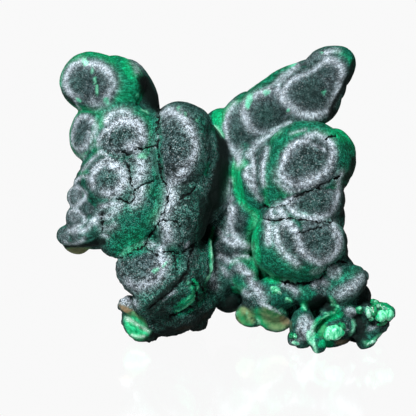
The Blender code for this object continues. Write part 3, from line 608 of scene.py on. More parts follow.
# Emerald bands, in the same columns, and how far past their half width they spread
GLOW_SPREAD = 0.25
GLOWS = (
    (0.5, 1.0, ((27.4, 10.7), (25.8, 9.8), (23.9, 8.6), (22.2, 7.2), (21.0, 5.4), (20.8, 3.4))),
    (0.5, 1.0, ((26.0, 14.2), (26.4, 12.6), (27.2, 11.0), (28.4, 9.6))),
    (0.9, 0.8, ((-30.2, 75.1), (-28.5, 74), (-27.1, 73.1), (-25.3, 72.3), (-23.9, 70.9), (-23.4, 69.6))),
    (1.6, 0.2, ((-32.7, 74.2), (-29.2, 73.1), (-26.7, 70), (-25.8, 67.2), (-25, 64.7))),
    (0.8, 0.6, ((-37.2, 73.5), (-35.5, 74.9), (-32.7, 75.2), (-30.2, 75.1))),
    (0.9, 0.7, ((-36.6, 60.7), (-34.7, 61.2), (-32.9, 60.8), (-31.5, 60), (-31, 58.4), (-31.2, 57))),
    (0.7, 0.5, ((-35.4, 47.9), (-34.3, 48.9), (-33.1, 50))),
    (0.6, 0.6, ((-37, 45.2), (-36.1, 45.4), (-34.5, 45.4))),
    (1.2, 0.3, ((-22.6, 60), (-20.3, 58.7), (-18.4, 57), (-17.8, 53.8))),
    (1.2, 0.3, ((-17.8, 50), (-17.5, 47.3), (-17.7, 44.7))),
    (1.6, 0.45, ((-19.9, 41.1), (-16.9, 39.9), (-16.6, 36.7), (-18.2, 34.3))),
    (1.7, 0.5, ((-18.2, 34.3), (-20.8, 31.5), (-22.6, 29), (-24.3, 27.6), (-26.4, 26.2))),
    (0.9, 0.9, ((-24, 28.7), (-21.7, 28.3), (-20.5, 27.4), (-22.6, 26.6))),
    (0.9, 1.0, ((-2.2, 59.2), (-1.2, 60.2), (-0.2, 61.1))),
    (0.8, 1.0, ((-2.7, 56.5), (-1.8, 55.6), (-0.9, 54.5))),
    (0.4, 0.9, ((-3.4, 31.2), (-3.6, 28.5))),
    (0.35, 0.6, ((-4.5, 47.2), (-5, 44.8))),
    (1.2, 0.9, ((4.3, 47.7), (2.2, 46.1), (2.1, 44.4), (2.7, 42.3), (3.7, 39.4), (5.1, 36.7),
        (7.4, 35.3))),
    (0.5, 0.9, ((10.5, 44.4), (10.1, 41.5), (9.9, 38.4), (10.3, 37.3))),
    (1.1, 0.6, ((14.3, 53.5), (12.2, 51.9), (11.4, 49.2), (10.9, 45.6), (10.9, 41.5), (12.6, 39.4))),
    (0.8, 1.0, ((7.2, 34), (6.9, 32.2), (6.4, 30.1))),
    (1.0, 0.9, ((26.7, 55.8), (28.8, 55), (30.4, 53.3), (31.5, 51.4))),
    (1.4, 0.5, ((11.4, 54.1), (14.3, 55.4), (17.6, 56.2))),
    (1.2, 1.0, ((7.5, 34.1), (6.7, 32.1), (6.2, 30), (6.1, 27.5), (6.4, 24.8), (7, 22.3), (8.5, 20.4),
        (10.5, 19.4))),
    (1.2, 0.8, ((10.5, 19.4), (12.6, 18.8), (15.5, 19))),
    (1.6, 0.45, ((9.1, 24.8), (11.2, 22.3), (14.7, 20.7), (18.8, 20.2), (21.7, 20.7))),
    (0.8, 0.8, ((2.2, 18.2), (3.1, 16.7), (4.1, 17.5))),
    (1.0, 0.6, ((18.8, 16.5), (19.7, 14.9), (21.5, 15.1))),
    (0.9, 0.45, ((25.7, 16.9), (28, 18.6), (30, 20.2), (32.1, 20.7))),
    (0.35, 1.0, ((-8.0, 18.6), (-7.0, 17.4), (-7.2, 15.8), (-8.1, 14.1), (-9.2, 12.5), (-10.7, 11.4),
        (-12.5, 10.7))),
    (0.25, 1.0, ((-8.2, 17.0), (-8.4, 15.2), (-9.6, 13.7), (-11.6, 12.9))),
    (0.12, 0.9, ((-9.6, 12.9), (-11.2, 12.4), (-12.9, 11.9))),
    (0.12, 0.8, ((-8.3, 11.2), (-9.6, 10.4), (-11.8, 9.8))),
    (0.22, 0.95, ((-5.4, 17.6), (-5.5, 15.6), (-6.2, 13.6), (-7.0, 12.4))),
    (0.1, 1.0, ((-3.6, 31.2), (-3.9, 27.7), (-3.6, 25.1), (-3.3, 23.3), (-3.6, 21.5), (-4.8, 18.6))),
    (0.9, 0.7, ((-21.3, 30), (-23.1, 27), (-25.6, 25.2))),
    (0.9, 0.4, ((-13.6, 26.7), (-11.6, 24.7), (-12.1, 23.1))),
    (0.8, 0.7, ((-0.2, 61.5), (4.1, 64.3), (6.6, 66.5), (8.8, 68), (10.9, 69.7))),
    (1.0, 0.5, ((10.9, 69.9), (13.5, 71.7), (16.1, 72.1))),
    (0.5, 0.6, ((27.3, 76), (29.9, 74.9), (31.2, 73.2))),
    (0.7, 0.95, ((7.6, 10.8), (8.2, 8.8), (9.4, 6.9))),
    (0.4, 0.7, ((3.0, 10.6), (4.6, 7.4), (6.6, 6.9))),
)


def stand():
    """Takes face-on millimetres to metres in the world, leaned back, on the floor and centred."""
    sine = math.sin(LEAN)
    cosine = math.cos(LEAN)
    drop = FLOOR_UP * cosine + FLOOR_FRONT * sine
    rows = (
        (1.0, 0.0, 0.0, -MIDDLE[0]),
        (0.0, sine, -cosine, -MIDDLE[1]),
        (0.0, cosine, sine, -drop),
        (0.0, 0.0, 0.0, 1.0),
    )
    return Matrix.Scale(MM, 4) @ Matrix(rows)


def flatten(verts, point, normal):
    """Presses every vertex that lies beyond a plane back onto it, which leaves a flat face."""
    point = Vector(point)
    normal = Vector(normal).normalized()
    for vert in verts:
        beyond = (vert.co - point).dot(normal)
        if beyond > 0.0:
            vert.co -= normal * beyond


def add_lobe(bm, name, centre, half, roll, faceted):
    """One rounded lobe, or one lobe with flat crystal faces, with its own break if it has one."""
    grown = bmesh.ops.create_icosphere(bm, subdivisions=4, radius=1.0)["verts"]
    if faceted:
        for way, depth in FACETS:
            way = Vector(way).normalized()
            flatten(grown, way * depth, way)
    rolled = Matrix.Translation(centre) @ Matrix.Rotation(math.radians(roll), 4, "Z")
    bmesh.ops.transform(bm, matrix=rolled @ Matrix.Diagonal((*half, 1.0)), verts=grown)
    for broken, point, normal in BREAKS:
        if broken == name:
            flatten(grown, point, normal)


def fused(bm, name, grid):
    """One closed skin over everything in the bmesh, which is used up."""
    loose = bpy.data.meshes.new(name)
    bm.to_mesh(loose)
    bm.free()
    grown = bpy.data.objects.new(name, loose)
    bpy.context.collection.objects.link(grown)
    fuse = grown.modifiers.new("fuse", "REMESH")
    fuse.mode = "VOXEL"
    fuse.voxel_size = grid * MM
    graph = bpy.context.evaluated_depsgraph_get()
    skin = bpy.data.meshes.new_from_object(grown.evaluated_get(graph))
    bpy.data.objects.remove(grown)
    return skin


def without_specks(mesh):
    """Drops the loose specks of a mesh and keeps its largest connected part."""
    bm = bmesh.new()
    bm.from_mesh(mesh)
    left = set(bm.verts)
    parts = []
    while left:
        part = [left.pop()]
        for vert in part:
            for edge in vert.link_edges:
                other = edge.other_vert(vert)
                if other in left:
                    left.remove(other)
                    part.append(other)
        parts.append(part)
    parts.sort(key=len)
    specks = [vert for part in parts[:-1] for vert in part]
    bmesh.ops.delete(bm, geom=specks, context="VERTS")
    bm.to_mesh(mesh)
    bm.free()


bm = bmesh.new()
for name, centre, half, roll in LOBES:
    add_lobe(bm, name, centre, half, roll, False)
for name, centre, half, roll in KNUCKLES:
    add_lobe(bm, name, centre, half, roll, True)
for start, end in zip(RIM, RIM[1:]):
    for step in range(3):
        ball = bmesh.ops.create_icosphere(bm, subdivisions=3, radius=RIM_HALF)["verts"]
        bmesh.ops.translate(bm, vec=Vector(start).lerp(Vector(end), step / 3), verts=ball)
bmesh.ops.transform(bm, matrix=stand(), verts=bm.verts)
skin = fused(bm, "velvet_mass", FINE_GRID)
without_specks(skin)


def measured(mesh):
    """Where the points of a mesh lie and face: in metres in the world, and face on in millimetres."""
    world = np.empty(len(mesh.vertices) * 3)
    mesh.vertices.foreach_get("co", world)
    world = world.reshape(-1, 3)
    normals = np.empty(len(mesh.vertices) * 3)
    mesh.vertex_normals.foreach_get("vector", normals)
    normals = normals.reshape(-1, 3)
    return world, normals, world @ turn[:3, :3].T + turn[:3, 3], normals @ (turn[:3, :3].T * MM)


def settled(mesh, rounds):
    """Where the points of a mesh would lie once it is smoothed."""
    draft = bpy.data.objects.new("settled", mesh)
    bpy.context.collection.objects.link(draft)
    settle = draft.modifiers.new("settle", "SMOOTH")
    settle.factor = 0.5
    settle.iterations = rounds
    graph = bpy.context.evaluated_depsgraph_get()
    soft = draft.evaluated_get(graph).to_mesh()
    places = np.empty(len(soft.vertices) * 3)
    soft.vertices.foreach_get("co", places)
    bpy.data.objects.remove(draft)
    return places.reshape(-1, 3)


def steps(low, high, value):
    """Zero below low, one above high, and a smooth rise between them."""
    part = np.clip((value - low) / (high - low), 0.0, 1.0)
    return part * part * (3.0 - 2.0 * part)


def away_from(points, places):
    """How far each place lies from a line through points (right, up), seen face on."""
    nearest = np.full(len(places), 1000.0)
    for start, end in zip(points, points[1:]):
        along = np.array(end) - np.array(start)
        offset = places[:, :2] - np.array(start)
        share = np.clip(offset @ along / (along @ along), 0.0, 1.0)
        nearest = np.minimum(nearest, np.linalg.norm(offset - share[:, None] * along, axis=1))
    return nearest


def away_from_cracks(places):
    """How far each place lies from the nearest crack, seen face on."""
    nearest = np.full(len(places), 10.0)
    for crack in CRACKS:
        nearest = np.minimum(nearest, away_from(crack, places))
    return nearest


# Lobes that touch have grown into one another, so the joints between them are filled
turn = np.array(stand().inverted())
world, normals, face_on, facing = measured(skin)
filling = np.sum((settled(skin, SETTLE_ROUNDS) - world) * normals, axis=1)
vane = (face_on[:, 0] > 4.0) & (face_on[:, 1] > 57.5)
filling = np.maximum(filling, 0.0) * np.where(vane, 1.0, steps(0.05, 0.45, np.abs(facing[:, 2])))
filling *= np.where((face_on[:, 0] > 13.0) & (face_on[:, 1] < 17.0), 0.2, 1.0)
skin.vertices.foreach_set("co", (world + normals * filling[:, None]).ravel())
skin.update()

# Along the cracks the skin is divided finer, so that they stay narrow
for reach in CRACK_REACHES:
    world, normals, face_on, facing = measured(skin)
    close = (away_from_cracks(face_on) < reach) & (facing[:, 2] > -0.3)
    bm = bmesh.new()
    bm.from_mesh(skin)
    split_edges = [edge for edge in bm.edges if close[edge.verts[0].index] and close[edge.verts[1].index]]
    bmesh.ops.subdivide_edges(bm, edges=split_edges, cuts=1, use_grid_fill=True)
    bm.to_mesh(skin)
    bm.free()

# What each point of the skin shows is worked out face on, in millimetres
world, normals, face_on, facing = measured(skin)
count = len(world)


def ripple(width, offset):
    """Smooth noise from -1 to 1 over the skin, with lumps about as wide as asked, in millimetres."""
    shift = Vector((offset, 0.0, 0.0))
    return np.array([noise.noise(Vector(place) / width + shift) for place in face_on])


def turned(places, centre, roll):
    """Places from a centre, along its own right, up and front."""
    angle = math.radians(roll)
    across = np.array(((math.cos(angle), math.sin(angle)), (-math.sin(angle), math.cos(angle))))
    offset = places - np.array(centre)
    offset[:, :2] = offset[:, :2] @ across.T
    return offset


def gap_to(name, centre, half, roll, faceted):
    """About how far each point of the skin is from one lobe, in millimetres."""
    offset = turned(face_on, centre, roll)
    unit = offset / np.array(half)
    length = np.linalg.norm(unit, axis=1)
    slope = np.linalg.norm(unit / np.array(half), axis=1)
    gap = length * (length - 1.0) / np.maximum(slope, 1e-6)
    if faceted:
        for way, depth in FACETS:
            way = np.array(way) / np.linalg.norm(way)
            gap = np.maximum(gap, (unit @ way - depth) * min(half))
    for broken, point, normal in BREAKS:
        if broken == name:
            way = np.array(normal) / np.linalg.norm(normal)
            gap = np.maximum(gap, (face_on - np.array(point)) @ way)
    return gap


names = [lobe[0] for lobe in LOBES] + [lobe[0] for lobe in KNUCKLES]
gaps = np.array([gap_to(*lobe, False) for lobe in LOBES] + [gap_to(*lobe, True) for lobe in KNUCKLES])
owner = gaps.argmin(axis=0)
ranked = np.partition(gaps, 1, axis=0)
crease = ranked[1] - ranked[0]
swell = ripple(SWELL_WIDTH, 0.0)
fret = ripple(FRET_WIDTH, 7.0)
drift = ripple(DRIFT_WIDTH, 13.0)

pale = np.zeros(count)
green = np.full(count, 0.22) + 0.25 * drift
fibre = face_on.copy()
shade = np.zeros(count)
shows = {kind: np.zeros(count) for kind in ("mint", "olive", "brown", "silk", "dark")}


def ring(mine, centre, sizes, roll, beyond, strength, wild=1.0):
    """Lays the fibres of one eye out from its middle, with green beyond it and a pale ring of painted sheen,
    faint unless strength is given.
    """
    offset = turned(face_on, centre, roll)
    unit = offset / np.array(sizes)
    length = np.linalg.norm(unit, axis=1)
    reach = length * (1.0 + wild * (0.10 * swell + 0.07 * fret))
    band = np.exp(-(((reach - 1.0) / 0.19) ** 2)) * strength
    band = np.maximum(band, 0.10 * steps(0.45, 0.95, reach) * steps(1.35, 1.05, reach))
    pale[mine] = np.maximum(pale[mine], band[mine])
    outside = beyond * steps(1.00, 1.50, reach) + 0.12 * drift + 0.06
    green[mine] = outside[mine]
    spokes = unit / np.maximum(length, 0.05)[:, None] * np.mean(sizes) + 0.15 * offset
    fibre[mine] = spokes[mine]


for lobes, (right, up), (wide, tall), roll, beyond in EYES:
    mine = np.isin(owner, [names.index(lobe) for lobe in lobes]) & (facing[:, 2] > -0.35)
    near = mine & (np.hypot(face_on[:, 0] - right, face_on[:, 1] - up) < 1.5)
    front = face_on[near, 2].max() if near.any() else face_on[mine, 2].max()
    ring(mine, (right, up, front), (wide, tall, 0.6 * (wide + tall)), roll, beyond, 0.0)
for number, (name, centre, half, roll) in enumerate(BACK + HEELS):
    mine = owner == names.index(name)
    if mine.any() and number % 4 != 2:
        away = face_on[mine] - np.array(centre)
        outward = np.array((0.25 * centre[0], 0.2 * (centre[1] - 38.0), centre[2] - 4.0))
        outward += 5.0 * np.array((math.sin(4.3 * number), math.cos(3.1 * number), 0.0))
        tip = face_on[mine][(away @ outward).argmax()]
        wide = half[0] * (0.34 + 0.62 * math.sin(2.3 * number) ** 2)
        tall = wide * (0.75 + 0.40 * math.sin(1.7 * number) ** 2)
        bright = 0.35 + 0.60 * math.sin(3.1 * number) ** 2
        beyond = 0.20 + 0.45 * math.sin(1.3 * number) ** 2
        sizes = (wide, tall, 0.55 * (wide + tall))
        ring(mine, tip, sizes, 40.0 * math.sin(5.1 * number), beyond, bright, 2.6)

shown = steps(-0.15, 0.25, facing[:, 2])
for half, strength, points in GLOWS:
    apart = (away_from(points, face_on) + 0.15 * fret + 0.20 * swell) / (half + GLOW_SPREAD)
    green += (1.0 - green) * np.exp(-(apart**2)) * strength * shown
# Glints are mint with a share of silk that whitens them, a painted highlight on bare edges.
for half, strength, points in GLINTS:
    apart = (away_from(points, face_on) + 0.10 * fret) / half
    weight = np.exp(-(apart**2)) * strength * shown
    shows["mint"] = np.maximum(shows["mint"], weight)
    shows["silk"] = np.maximum(shows["silk"], 0.6 * weight)
# Painted shade: dark bands on walls and undersides turned from the lamps.
for half, strength, points in SHADE_BANDS:
    apart = (away_from(points, face_on) + 0.15 * fret + 0.15 * swell) / half
    shows["dark"] = np.maximum(shows["dark"], steps(1.5, 0.6, apart) * strength)
# Painted sheen: pale bands where the fibre tips catch the light.
for half, strength, points in SHEEN_BANDS:
    apart = np.maximum(away_from(points, face_on) + 0.12 * fret + 0.15 * swell, 0.0) / half
    pale = np.maximum(pale, np.exp(-(apart**1.45)) * strength * shown)
for kind, (right, up), (wide, tall), roll, strength in PATCHES:
    offset = turned(face_on, (right, up, 0.0), roll)
    reach = np.hypot(offset[:, 0] / wide, offset[:, 1] / tall) + 0.14 * fret + 0.10 * swell
    weight = steps(1.25, 0.72, reach) * strength * shown
    if kind == "pale":
        pale = np.maximum(pale, weight)
    elif kind == "green":
        green += (0.55 - green) * weight
        pale *= 1.0 - 0.35 * weight
    elif kind == "vivid":
        green += (1.0 - green) * weight
        pale *= 1.0 - 0.45 * weight
    else:
        shows[kind] = np.maximum(shows[kind], weight)

# The pile is coarse on the column and the foot, and finer at the left edge, on the knob and to the right
right, up = face_on[:, 0], face_on[:, 1]
rough = 0.35 + 0.65 * steps(-34.0, -28.0, right) * steps(1.0, -4.0, right) * steps(62.0, 57.0, up)
rough += 0.30 * steps(2.0, 6.0, right) * steps(55.0, 51.0, up)

# Cracks and creases are sunk into the skin. Cracks stay dark, and painted shade lies in the creases between
# lobes and on the walls and undersides under the shade bands and dark patches; mint keeps most of its colour
# through it.
jagged = face_on + CRACK_JAG * np.stack((fret + ripple(0.6, 31.0), ripple(0.8, 23.0), fret), axis=1)
nearest_crack = np.maximum(away_from_cracks(jagged) + 0.12 * fret, 0.0)
in_front = steps(-0.45, -0.05, facing[:, 2])
sunk = np.exp(-((nearest_crack / CRACK_HALF) ** 2)) * in_front
seam = np.exp(-((crease / CREASE_HALF) ** 2))
shade = np.maximum(0.35 * seam, shows["dark"]) * (1.0 - 0.8 * shows["mint"])

uncentred = world + np.array((MIDDLE[0], MIDDLE[1], 0.0)) * MM
lumps = np.array([noise.noise(Vector(place) / (LUMP_WIDTH * MM)) for place in uncentred])
knobbly = 0.06 + 0.20 * steps(0.45, 1.0, rough) * (1.0 + steps(30.0, 20.0, up))
rise = LUMP_HEIGHT * lumps + knobbly * fret + SWELL_HEIGHT * swell
rise -= CRACK_DEEP * sunk + CREASE_DEEP * seam
world += normals * (rise * MM)[:, None]
low, high = (np.array(corner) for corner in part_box("malachite"))
world = np.clip(world, low, high)
skin.vertices.foreach_set("co", world.ravel())


def keep(mesh, name, kind, field, values):
    """Keeps values at every point of a mesh, for its material to read."""
    mesh.attributes.new(name, kind, "POINT").data.foreach_set(field, values.ravel())


bared = np.stack((shows["mint"], shows["olive"], shows["brown"], shows["silk"]), axis=1)
keep(skin, "growth", "FLOAT_COLOR", "color", np.clip(np.stack((pale, green, shade, rough), axis=1), 0.0, 1.0))
keep(skin, "bared", "FLOAT_COLOR", "color", np.clip(bared, 0.0, 1.0))
keep(skin, "split", "FLOAT", "value", np.clip(nearest_crack + 1.0 - in_front, 0.0, 1.0))
keep(skin, "fibre", "FLOAT_VECTOR", "vector", fibre)
skin.shade_smooth()
skin.update()
mass = bpy.data.objects.new("velvet_mass", skin)
bpy.context.collection.objects.link(mass)


def finish_of(name):
    """A new material, its shader, and the two helpers that add and join its nodes."""
    material = bpy.data.materials.new(name)
    material.use_nodes = True
    tree = material.node_tree

    def add(kind, **settings):
        node = tree.nodes.new("ShaderNode" + kind)
        for key, value in settings.items():
            setattr(node, key, value)
        return node

    def join(start, end):
        tree.links.new(start, end)

    return material, tree.nodes["Principled BSDF"], add, join


def given(node, values):
    """A node with values set on its sockets."""
    for socket, value in values.items():
        node.inputs[socket].default_value = value
    return node


def grain(add, join, place, scale, detail, roughness):
    """Noise on the object's own coordinates, with its scale in features to the metre."""
    speck = given(add("TexNoise"), {"Scale": scale, "Detail": detail, "Roughness": roughness})
    join(place, speck.inputs["Vector"])
    return speck.outputs["Fac"]


def sum_of(add, join, operation, first, second, clamp=False):
    """One arithmetic node, whose inputs are sockets or numbers."""
    node = add("Math", operation=operation, use_clamp=clamp)
    for socket, value in zip(node.inputs, (first, second)):
        if isinstance(value, (int, float)):
            socket.default_value = value
        else:
            join(value, socket)
    return node.outputs[0]


def above(add, join, value, floor, times):
    """How far a value is above a floor, times a factor, kept between 0 and 1."""
    return sum_of(add, join, "MULTIPLY", sum_of(add, join, "SUBTRACT", value, floor), times, True)


def blend(add, join, share, first, second):
    """Mixes two colours, each a socket or a fixed colour."""
    node = add("Mix", data_type="RGBA", blend_type="MIX")
    node.clamp_factor = True
    join(share, node.inputs[0])
    for socket, value in ((node.inputs[6], first), (node.inputs[7], second)):
        if isinstance(value, tuple):
            socket.default_value = (*value, 1.0)
        else:
            join(value, socket)
    return node.outputs[2]


# Colours of the pile from dull through green to vivid, deep between the fibres and at their tips
DEEP = ((0.004, 0.011, 0.012), (0.000, 0.030, 0.020), (0.000, 0.190, 0.066))
TIP = ((0.080, 0.133, 0.143), (0.014, 0.245, 0.160), (0.000, 0.600, 0.245))
RING_SHEEN = (0.60, 0.69, 0.78)
SPARKLE = (0.78, 0.86, 0.88)
SOOT = (0.002, 0.006, 0.006)
PIT_SHADE = (0.001, 0.006, 0.005)
SHADE = (0.002, 0.006, 0.005)
CRACK = (0.001, 0.003, 0.003)
OLIVE = ((0.03, 0.10, 0.03), (0.23, 0.30, 0.14))
OLIVE_GREEN = (0.01, 0.34, 0.12)
BROWN = ((0.08, 0.06, 0.03), (0.30, 0.21, 0.12))
SILK = ((0.0, 0.26, 0.09), (0.04, 0.68, 0.30))
MINT = ((0.14, 0.86, 0.50), (0.72, 0.97, 0.84))
velvet, shader, add, join = finish_of("velvet_malachite")
place = add("TexCoord").outputs["Object"]
growth = add("Attribute", attribute_name="growth")
bared = add("Attribute", attribute_name="bared")
growth_parts = add("SeparateColor")
bared_parts = add("SeparateColor")
join(growth.outputs["Color"], growth_parts.inputs[0])
join(bared.outputs["Color"], bared_parts.inputs[0])
pale_part, green_part, shade_part = growth_parts.outputs
mint_part, olive_part, brown_part = bared_parts.outputs
silk_part = bared.outputs["Alpha"]
rough_part = growth.outputs["Alpha"]
spokes = add("Attribute", attribute_name="fibre").outputs["Vector"]
tufts = grain(add, join, place, 3300.0, 1.0, 0.6)
strands = grain(add, join, spokes, 3.2, 1.5, 0.6)
clumps = grain(add, join, place, 850.0, 2.0, 0.5)
clouds = grain(add, join, place, 160.0, 2.0, 0.5)
pile_height = add("Mix", data_type="FLOAT")
join(rough_part, pile_height.inputs[0])
join(strands, pile_height.inputs[2])
join(tufts, pile_height.inputs[3])
pile_height = pile_height.outputs[0]
coarse = sum_of(add, join, "MULTIPLY", sum_of(add, join, "SUBTRACT", clumps, 0.5), 0.5)
coarse = sum_of(add, join, "ADD", coarse, pile_height)
sharpness = sum_of(add, join, "ADD", sum_of(add, join, "MULTIPLY", rough_part, 2.6), 1.8)
salt = sum_of(add, join, "MULTIPLY", sum_of(add, join, "SUBTRACT", coarse, 0.5), sharpness)
salt = sum_of(add, join, "ADD", salt, 0.44, True)
salt = sum_of(add, join, "POWER", salt, 1.7)


def ramp(share, low, middle, high):
    """A colour that goes from low through middle to high."""
    node = add("ValToRGB")
    node.color_ramp.elements[0].color = (*low, 1.0)
    node.color_ramp.elements[1].color = (*high, 1.0)
    node.color_ramp.elements.new(0.5).color = (*middle, 1.0)
    join(share, node.inputs[0])
    return node.outputs[0]


skin_colour = blend(add, join, salt, ramp(green_part, *DEEP), ramp(green_part, *TIP))
# The pale rings: painted sheen where the fibre tips catch the light, grainy with the pile.
ring_sheen = sum_of(add, join, "ADD", sum_of(add, join, "MULTIPLY", salt, 1.15), 0.26)
ring_sheen = sum_of(add, join, "MULTIPLY", ring_sheen, pale_part, True)
skin_colour = blend(add, join, ring_sheen, skin_colour, RING_SHEEN)
# Painted glints: sparse white specks on the pale rings and the rough pile.
sparkle = sum_of(add, join, "MULTIPLY", rough_part, 0.32)
sparkle = sum_of(add, join, "SUBTRACT", sparkle, sum_of(add, join, "MULTIPLY", green_part, 0.55), True)
specks = grain(add, join, place, 2600.0, 0.0, 0.5)
specks = above(add, join, specks, 0.66, 10.0)
sparkle = sum_of(add, join, "ADD", sum_of(add, join, "MULTIPLY", pale_part, 0.6), sparkle)
specks = sum_of(add, join, "MULTIPLY", specks, sparkle, True)
skin_colour = blend(add, join, specks, skin_colour, SPARKLE)
wander = given(add("TexNoise"), {"Scale": 500.0, "Detail": 2.0})
join(place, wander.inputs["Vector"])
patchy = grain(add, join, place, 70.0, 1.0, 0.5)
shifted = given(add("MixRGB", blend_type="LINEAR_LIGHT"), {0: 0.0026})
join(place, shifted.inputs[1])
join(wander.outputs["Color"], shifted.inputs[2])
plates = given(add("TexVoronoi", feature="DISTANCE_TO_EDGE"), {"Scale": 210.0})
join(shifted.outputs[0], plates.inputs["Vector"])
crackle = sum_of(add, join, "ADD", plates.outputs["Distance"], sum_of(add, join, "MULTIPLY", patchy, 0.9))
crackle = sum_of(add, join, "MULTIPLY", sum_of(add, join, "SUBTRACT", 0.42, crackle), 26.0, True)
crackle = sum_of(add, join, "MULTIPLY", crackle, sum_of(add, join, "SUBTRACT", rough_part, 0.25), True)
skin_colour = blend(add, join, crackle, skin_colour, SOOT)
# Painted shade in the pits between the clumps of pile, where it is rough, and less where it is green.
pit_shade = sum_of(add, join, "MULTIPLY", sum_of(add, join, "SUBTRACT", 0.46, clumps), 7.0, True)
pit_shade_share = sum_of(add, join, "SUBTRACT", rough_part, 0.30)
pit_shade_share = sum_of(add, join, "SUBTRACT", pit_shade_share, sum_of(add, join, "MULTIPLY", green_part, 0.5))
pit_shade = sum_of(add, join, "MULTIPLY", pit_shade, pit_shade_share, True)
skin_colour = blend(add, join, pit_shade, skin_colour, PIT_SHADE)
mottle = grain(add, join, place, 420.0, 3.0, 0.6)
olive_light = above(add, join, mottle, 0.34, 3.2)
olive_colour = blend(add, join, green_part, blend(add, join, olive_light, *OLIVE), OLIVE_GREEN)
skin_colour = blend(add, join, olive_part, skin_colour, olive_colour)
skin_colour = blend(add, join, brown_part, skin_colour, blend(add, join, clumps, *BROWN))
# The light streaks along the fibres of the silky breaks are painted sheen.
thread = add("Mapping", vector_type="TEXTURE")
given(thread, {"Rotation": (0.0, math.radians(32.0), 0.0), "Scale": (9.0, 1.0, 1.0)})
join(place, thread.inputs["Vector"])
threads = grain(add, join, thread.outputs[0], 1300.0, 2.0, 0.5)
silk_sheen = above(add, join, threads, 0.38, 3.0)
skin_colour = blend(add, join, silk_part, skin_colour, blend(add, join, silk_sheen, *SILK))
# Mint on bare crystal edges, whitened by the silk share into a painted highlight on the glints.
mint_share = sum_of(add, join, "ADD", sum_of(add, join, "MULTIPLY", salt, 0.8), 0.5)
mint_share = sum_of(add, join, "MULTIPLY", mint_part, mint_share, True)
skin_colour = blend(add, join, mint_share, skin_colour, blend(add, join, silk_part, *MINT))
# Painted shade from the growth attribute: creases, shade bands and dark patches.
skin_colour = blend(add, join, shade_part, skin_colour, SHADE)
split = add("Attribute", attribute_name="split").outputs["Fac"]
torn = sum_of(add, join, "ADD", split, sum_of(add, join, "MULTIPLY", clumps, 0.45))
torn = sum_of(add, join, "ADD", torn, sum_of(add, join, "MULTIPLY", tufts, 0.16))
opening = sum_of(add, join, "ADD", sum_of(add, join, "MULTIPLY", clouds, 0.34), 0.41)
skin_colour = blend(add, join, above(add, join, opening, torn, 9.0), skin_colour, CRACK)
join(skin_colour, shader.inputs["Base Color"])
hard = sum_of(add, join, "ADD", olive_part, sum_of(add, join, "ADD", silk_part, mint_part), True)
polish = given(add("MapRange"), {"To Min": 0.78, "To Max": 0.30})
join(hard, polish.inputs["Value"])
join(polish.outputs[0], shader.inputs["Roughness"])
given(shader, {"Specular IOR Level": 0.13})
pile = given(add("Bump"), {"Strength": 0.7, "Distance": 0.00035})
join(coarse, pile.inputs["Height"])
join(pile.outputs[0], shader.inputs["Normal"])
mass.data.materials.append(velvet)
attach(mass, "root")
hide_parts("malachite")

# Bare crystals: clear mint and emerald malachite where the velvet has broken away, each a few millimetres
# long, grown from the low cluster at the right and the ledge beside it, and set into the mass at their roots.
# Tint, centre (right, up), half sizes (right, up, front), roll, and how far the middle stands out of the mass
CRYSTALS = (
    ("mint", (27.0, 5.6), (2.7, 2.0, 1.6), 8, 0.5),
    ("mint", (25.4, 5.0), (1.3, 1.5, 1.2), -20, 0.9),
    ("emerald", (28.7, 6.9), (1.1, 1.3, 1.2), 30, 0.9),
    ("emerald", (33.4, 11.0), (1.1, 1.1, 1.2), 0, 0.3),
    ("mint", (33.3, 11.5), (0.6, 0.5, 0.6), 20, 1.3),
    ("pale", (35.5, 10.4), (0.9, 1.7, 1.3), 10, 0.3),
    ("emerald", (37.2, 12.7), (1.4, 1.0, 1.1), -32, 0.0),
    ("emerald", (38.8, 11.7), (1.5, 1.1, 1.2), -45, -0.1),
    ("mint", (37.3, 13.2), (0.45, 0.3, 0.4), -20, 0.5),
    ("pale", (38.0, 12.0), (0.4, 0.5, 0.4), 15, 0.7),
    ("mint", (36.2, 8.9), (0.7, 0.7, 0.6), 0, 0.3),
    ("emerald", (36.8, 10.8), (1.1, 1.6, 1.2), 15, 0.3),
    ("mint", (38.8, 9.5), (1.8, 1.6, 1.4), 25, 0.4),
    ("mint", (40.6, 9.9), (1.5, 1.7, 1.3), -10, 0.1),
    ("pale", (39.6, 11.4), (0.9, 0.6, 0.8), -40, 0.5),
    ("emerald", (38.9, 7.6), (1.4, 0.6, 0.9), 20, 0.1),
    ("emerald", (16.3, 4.7), (0.7, 0.7, 0.7), 0, 0.2),
    ("mint", (17.2, 4.6), (0.5, 0.7, 0.6), 15, 0.2),
    ("pale", (17.3, 2.9), (1.1, 0.7, 0.8), -10, 0.1),
    ("mint", (11.7, 16.5), (0.7, 0.5, 0.5), -20, 0.1),
    ("mint", (12.6, 15.9), (0.8, 0.6, 0.6), 25, 0.1),
    ("pale", (13.3, 15.4), (0.5, 0.3, 0.4), -40, 0.1),
    ("emerald", (12.1, 15.5), (0.6, 0.35, 0.4), 10, 0.1),
    ("mint", (15.2, 13.9), (0.5, 0.4, 0.4), -10, 0.1),
    ("mint", (15.9, 13.5), (0.6, 0.3, 0.4), -30, 0.1),
    ("pale", (36.0, 2.9), (1.3, 0.5, 0.7), 25, 0.1),
)
TINTS = {
    "mint": ((0.00, 0.42, 0.17), (0.30, 0.95, 0.60)),
    "pale": ((0.04, 0.36, 0.20), (0.50, 0.88, 0.70)),
    "emerald": ((0.00, 0.09, 0.035), (0.02, 0.44, 0.17)),
}
FACES = 16
EDGE = 0.12
SWOLLEN = 1.25
BEHIND_ALL = 30.0
finished_skin = world @ turn[:3, :3].T + turn[:3, 3]


def skin_front(right, up):
    """How far forward the finished skin stands at one place."""
    aside = np.hypot(finished_skin[:, 0] - right, finished_skin[:, 1] - up)
    near = np.argmin(aside**2 + 0.02 * (BEHIND_ALL - finished_skin[:, 2]) ** 2)
    return finished_skin[near, 2]


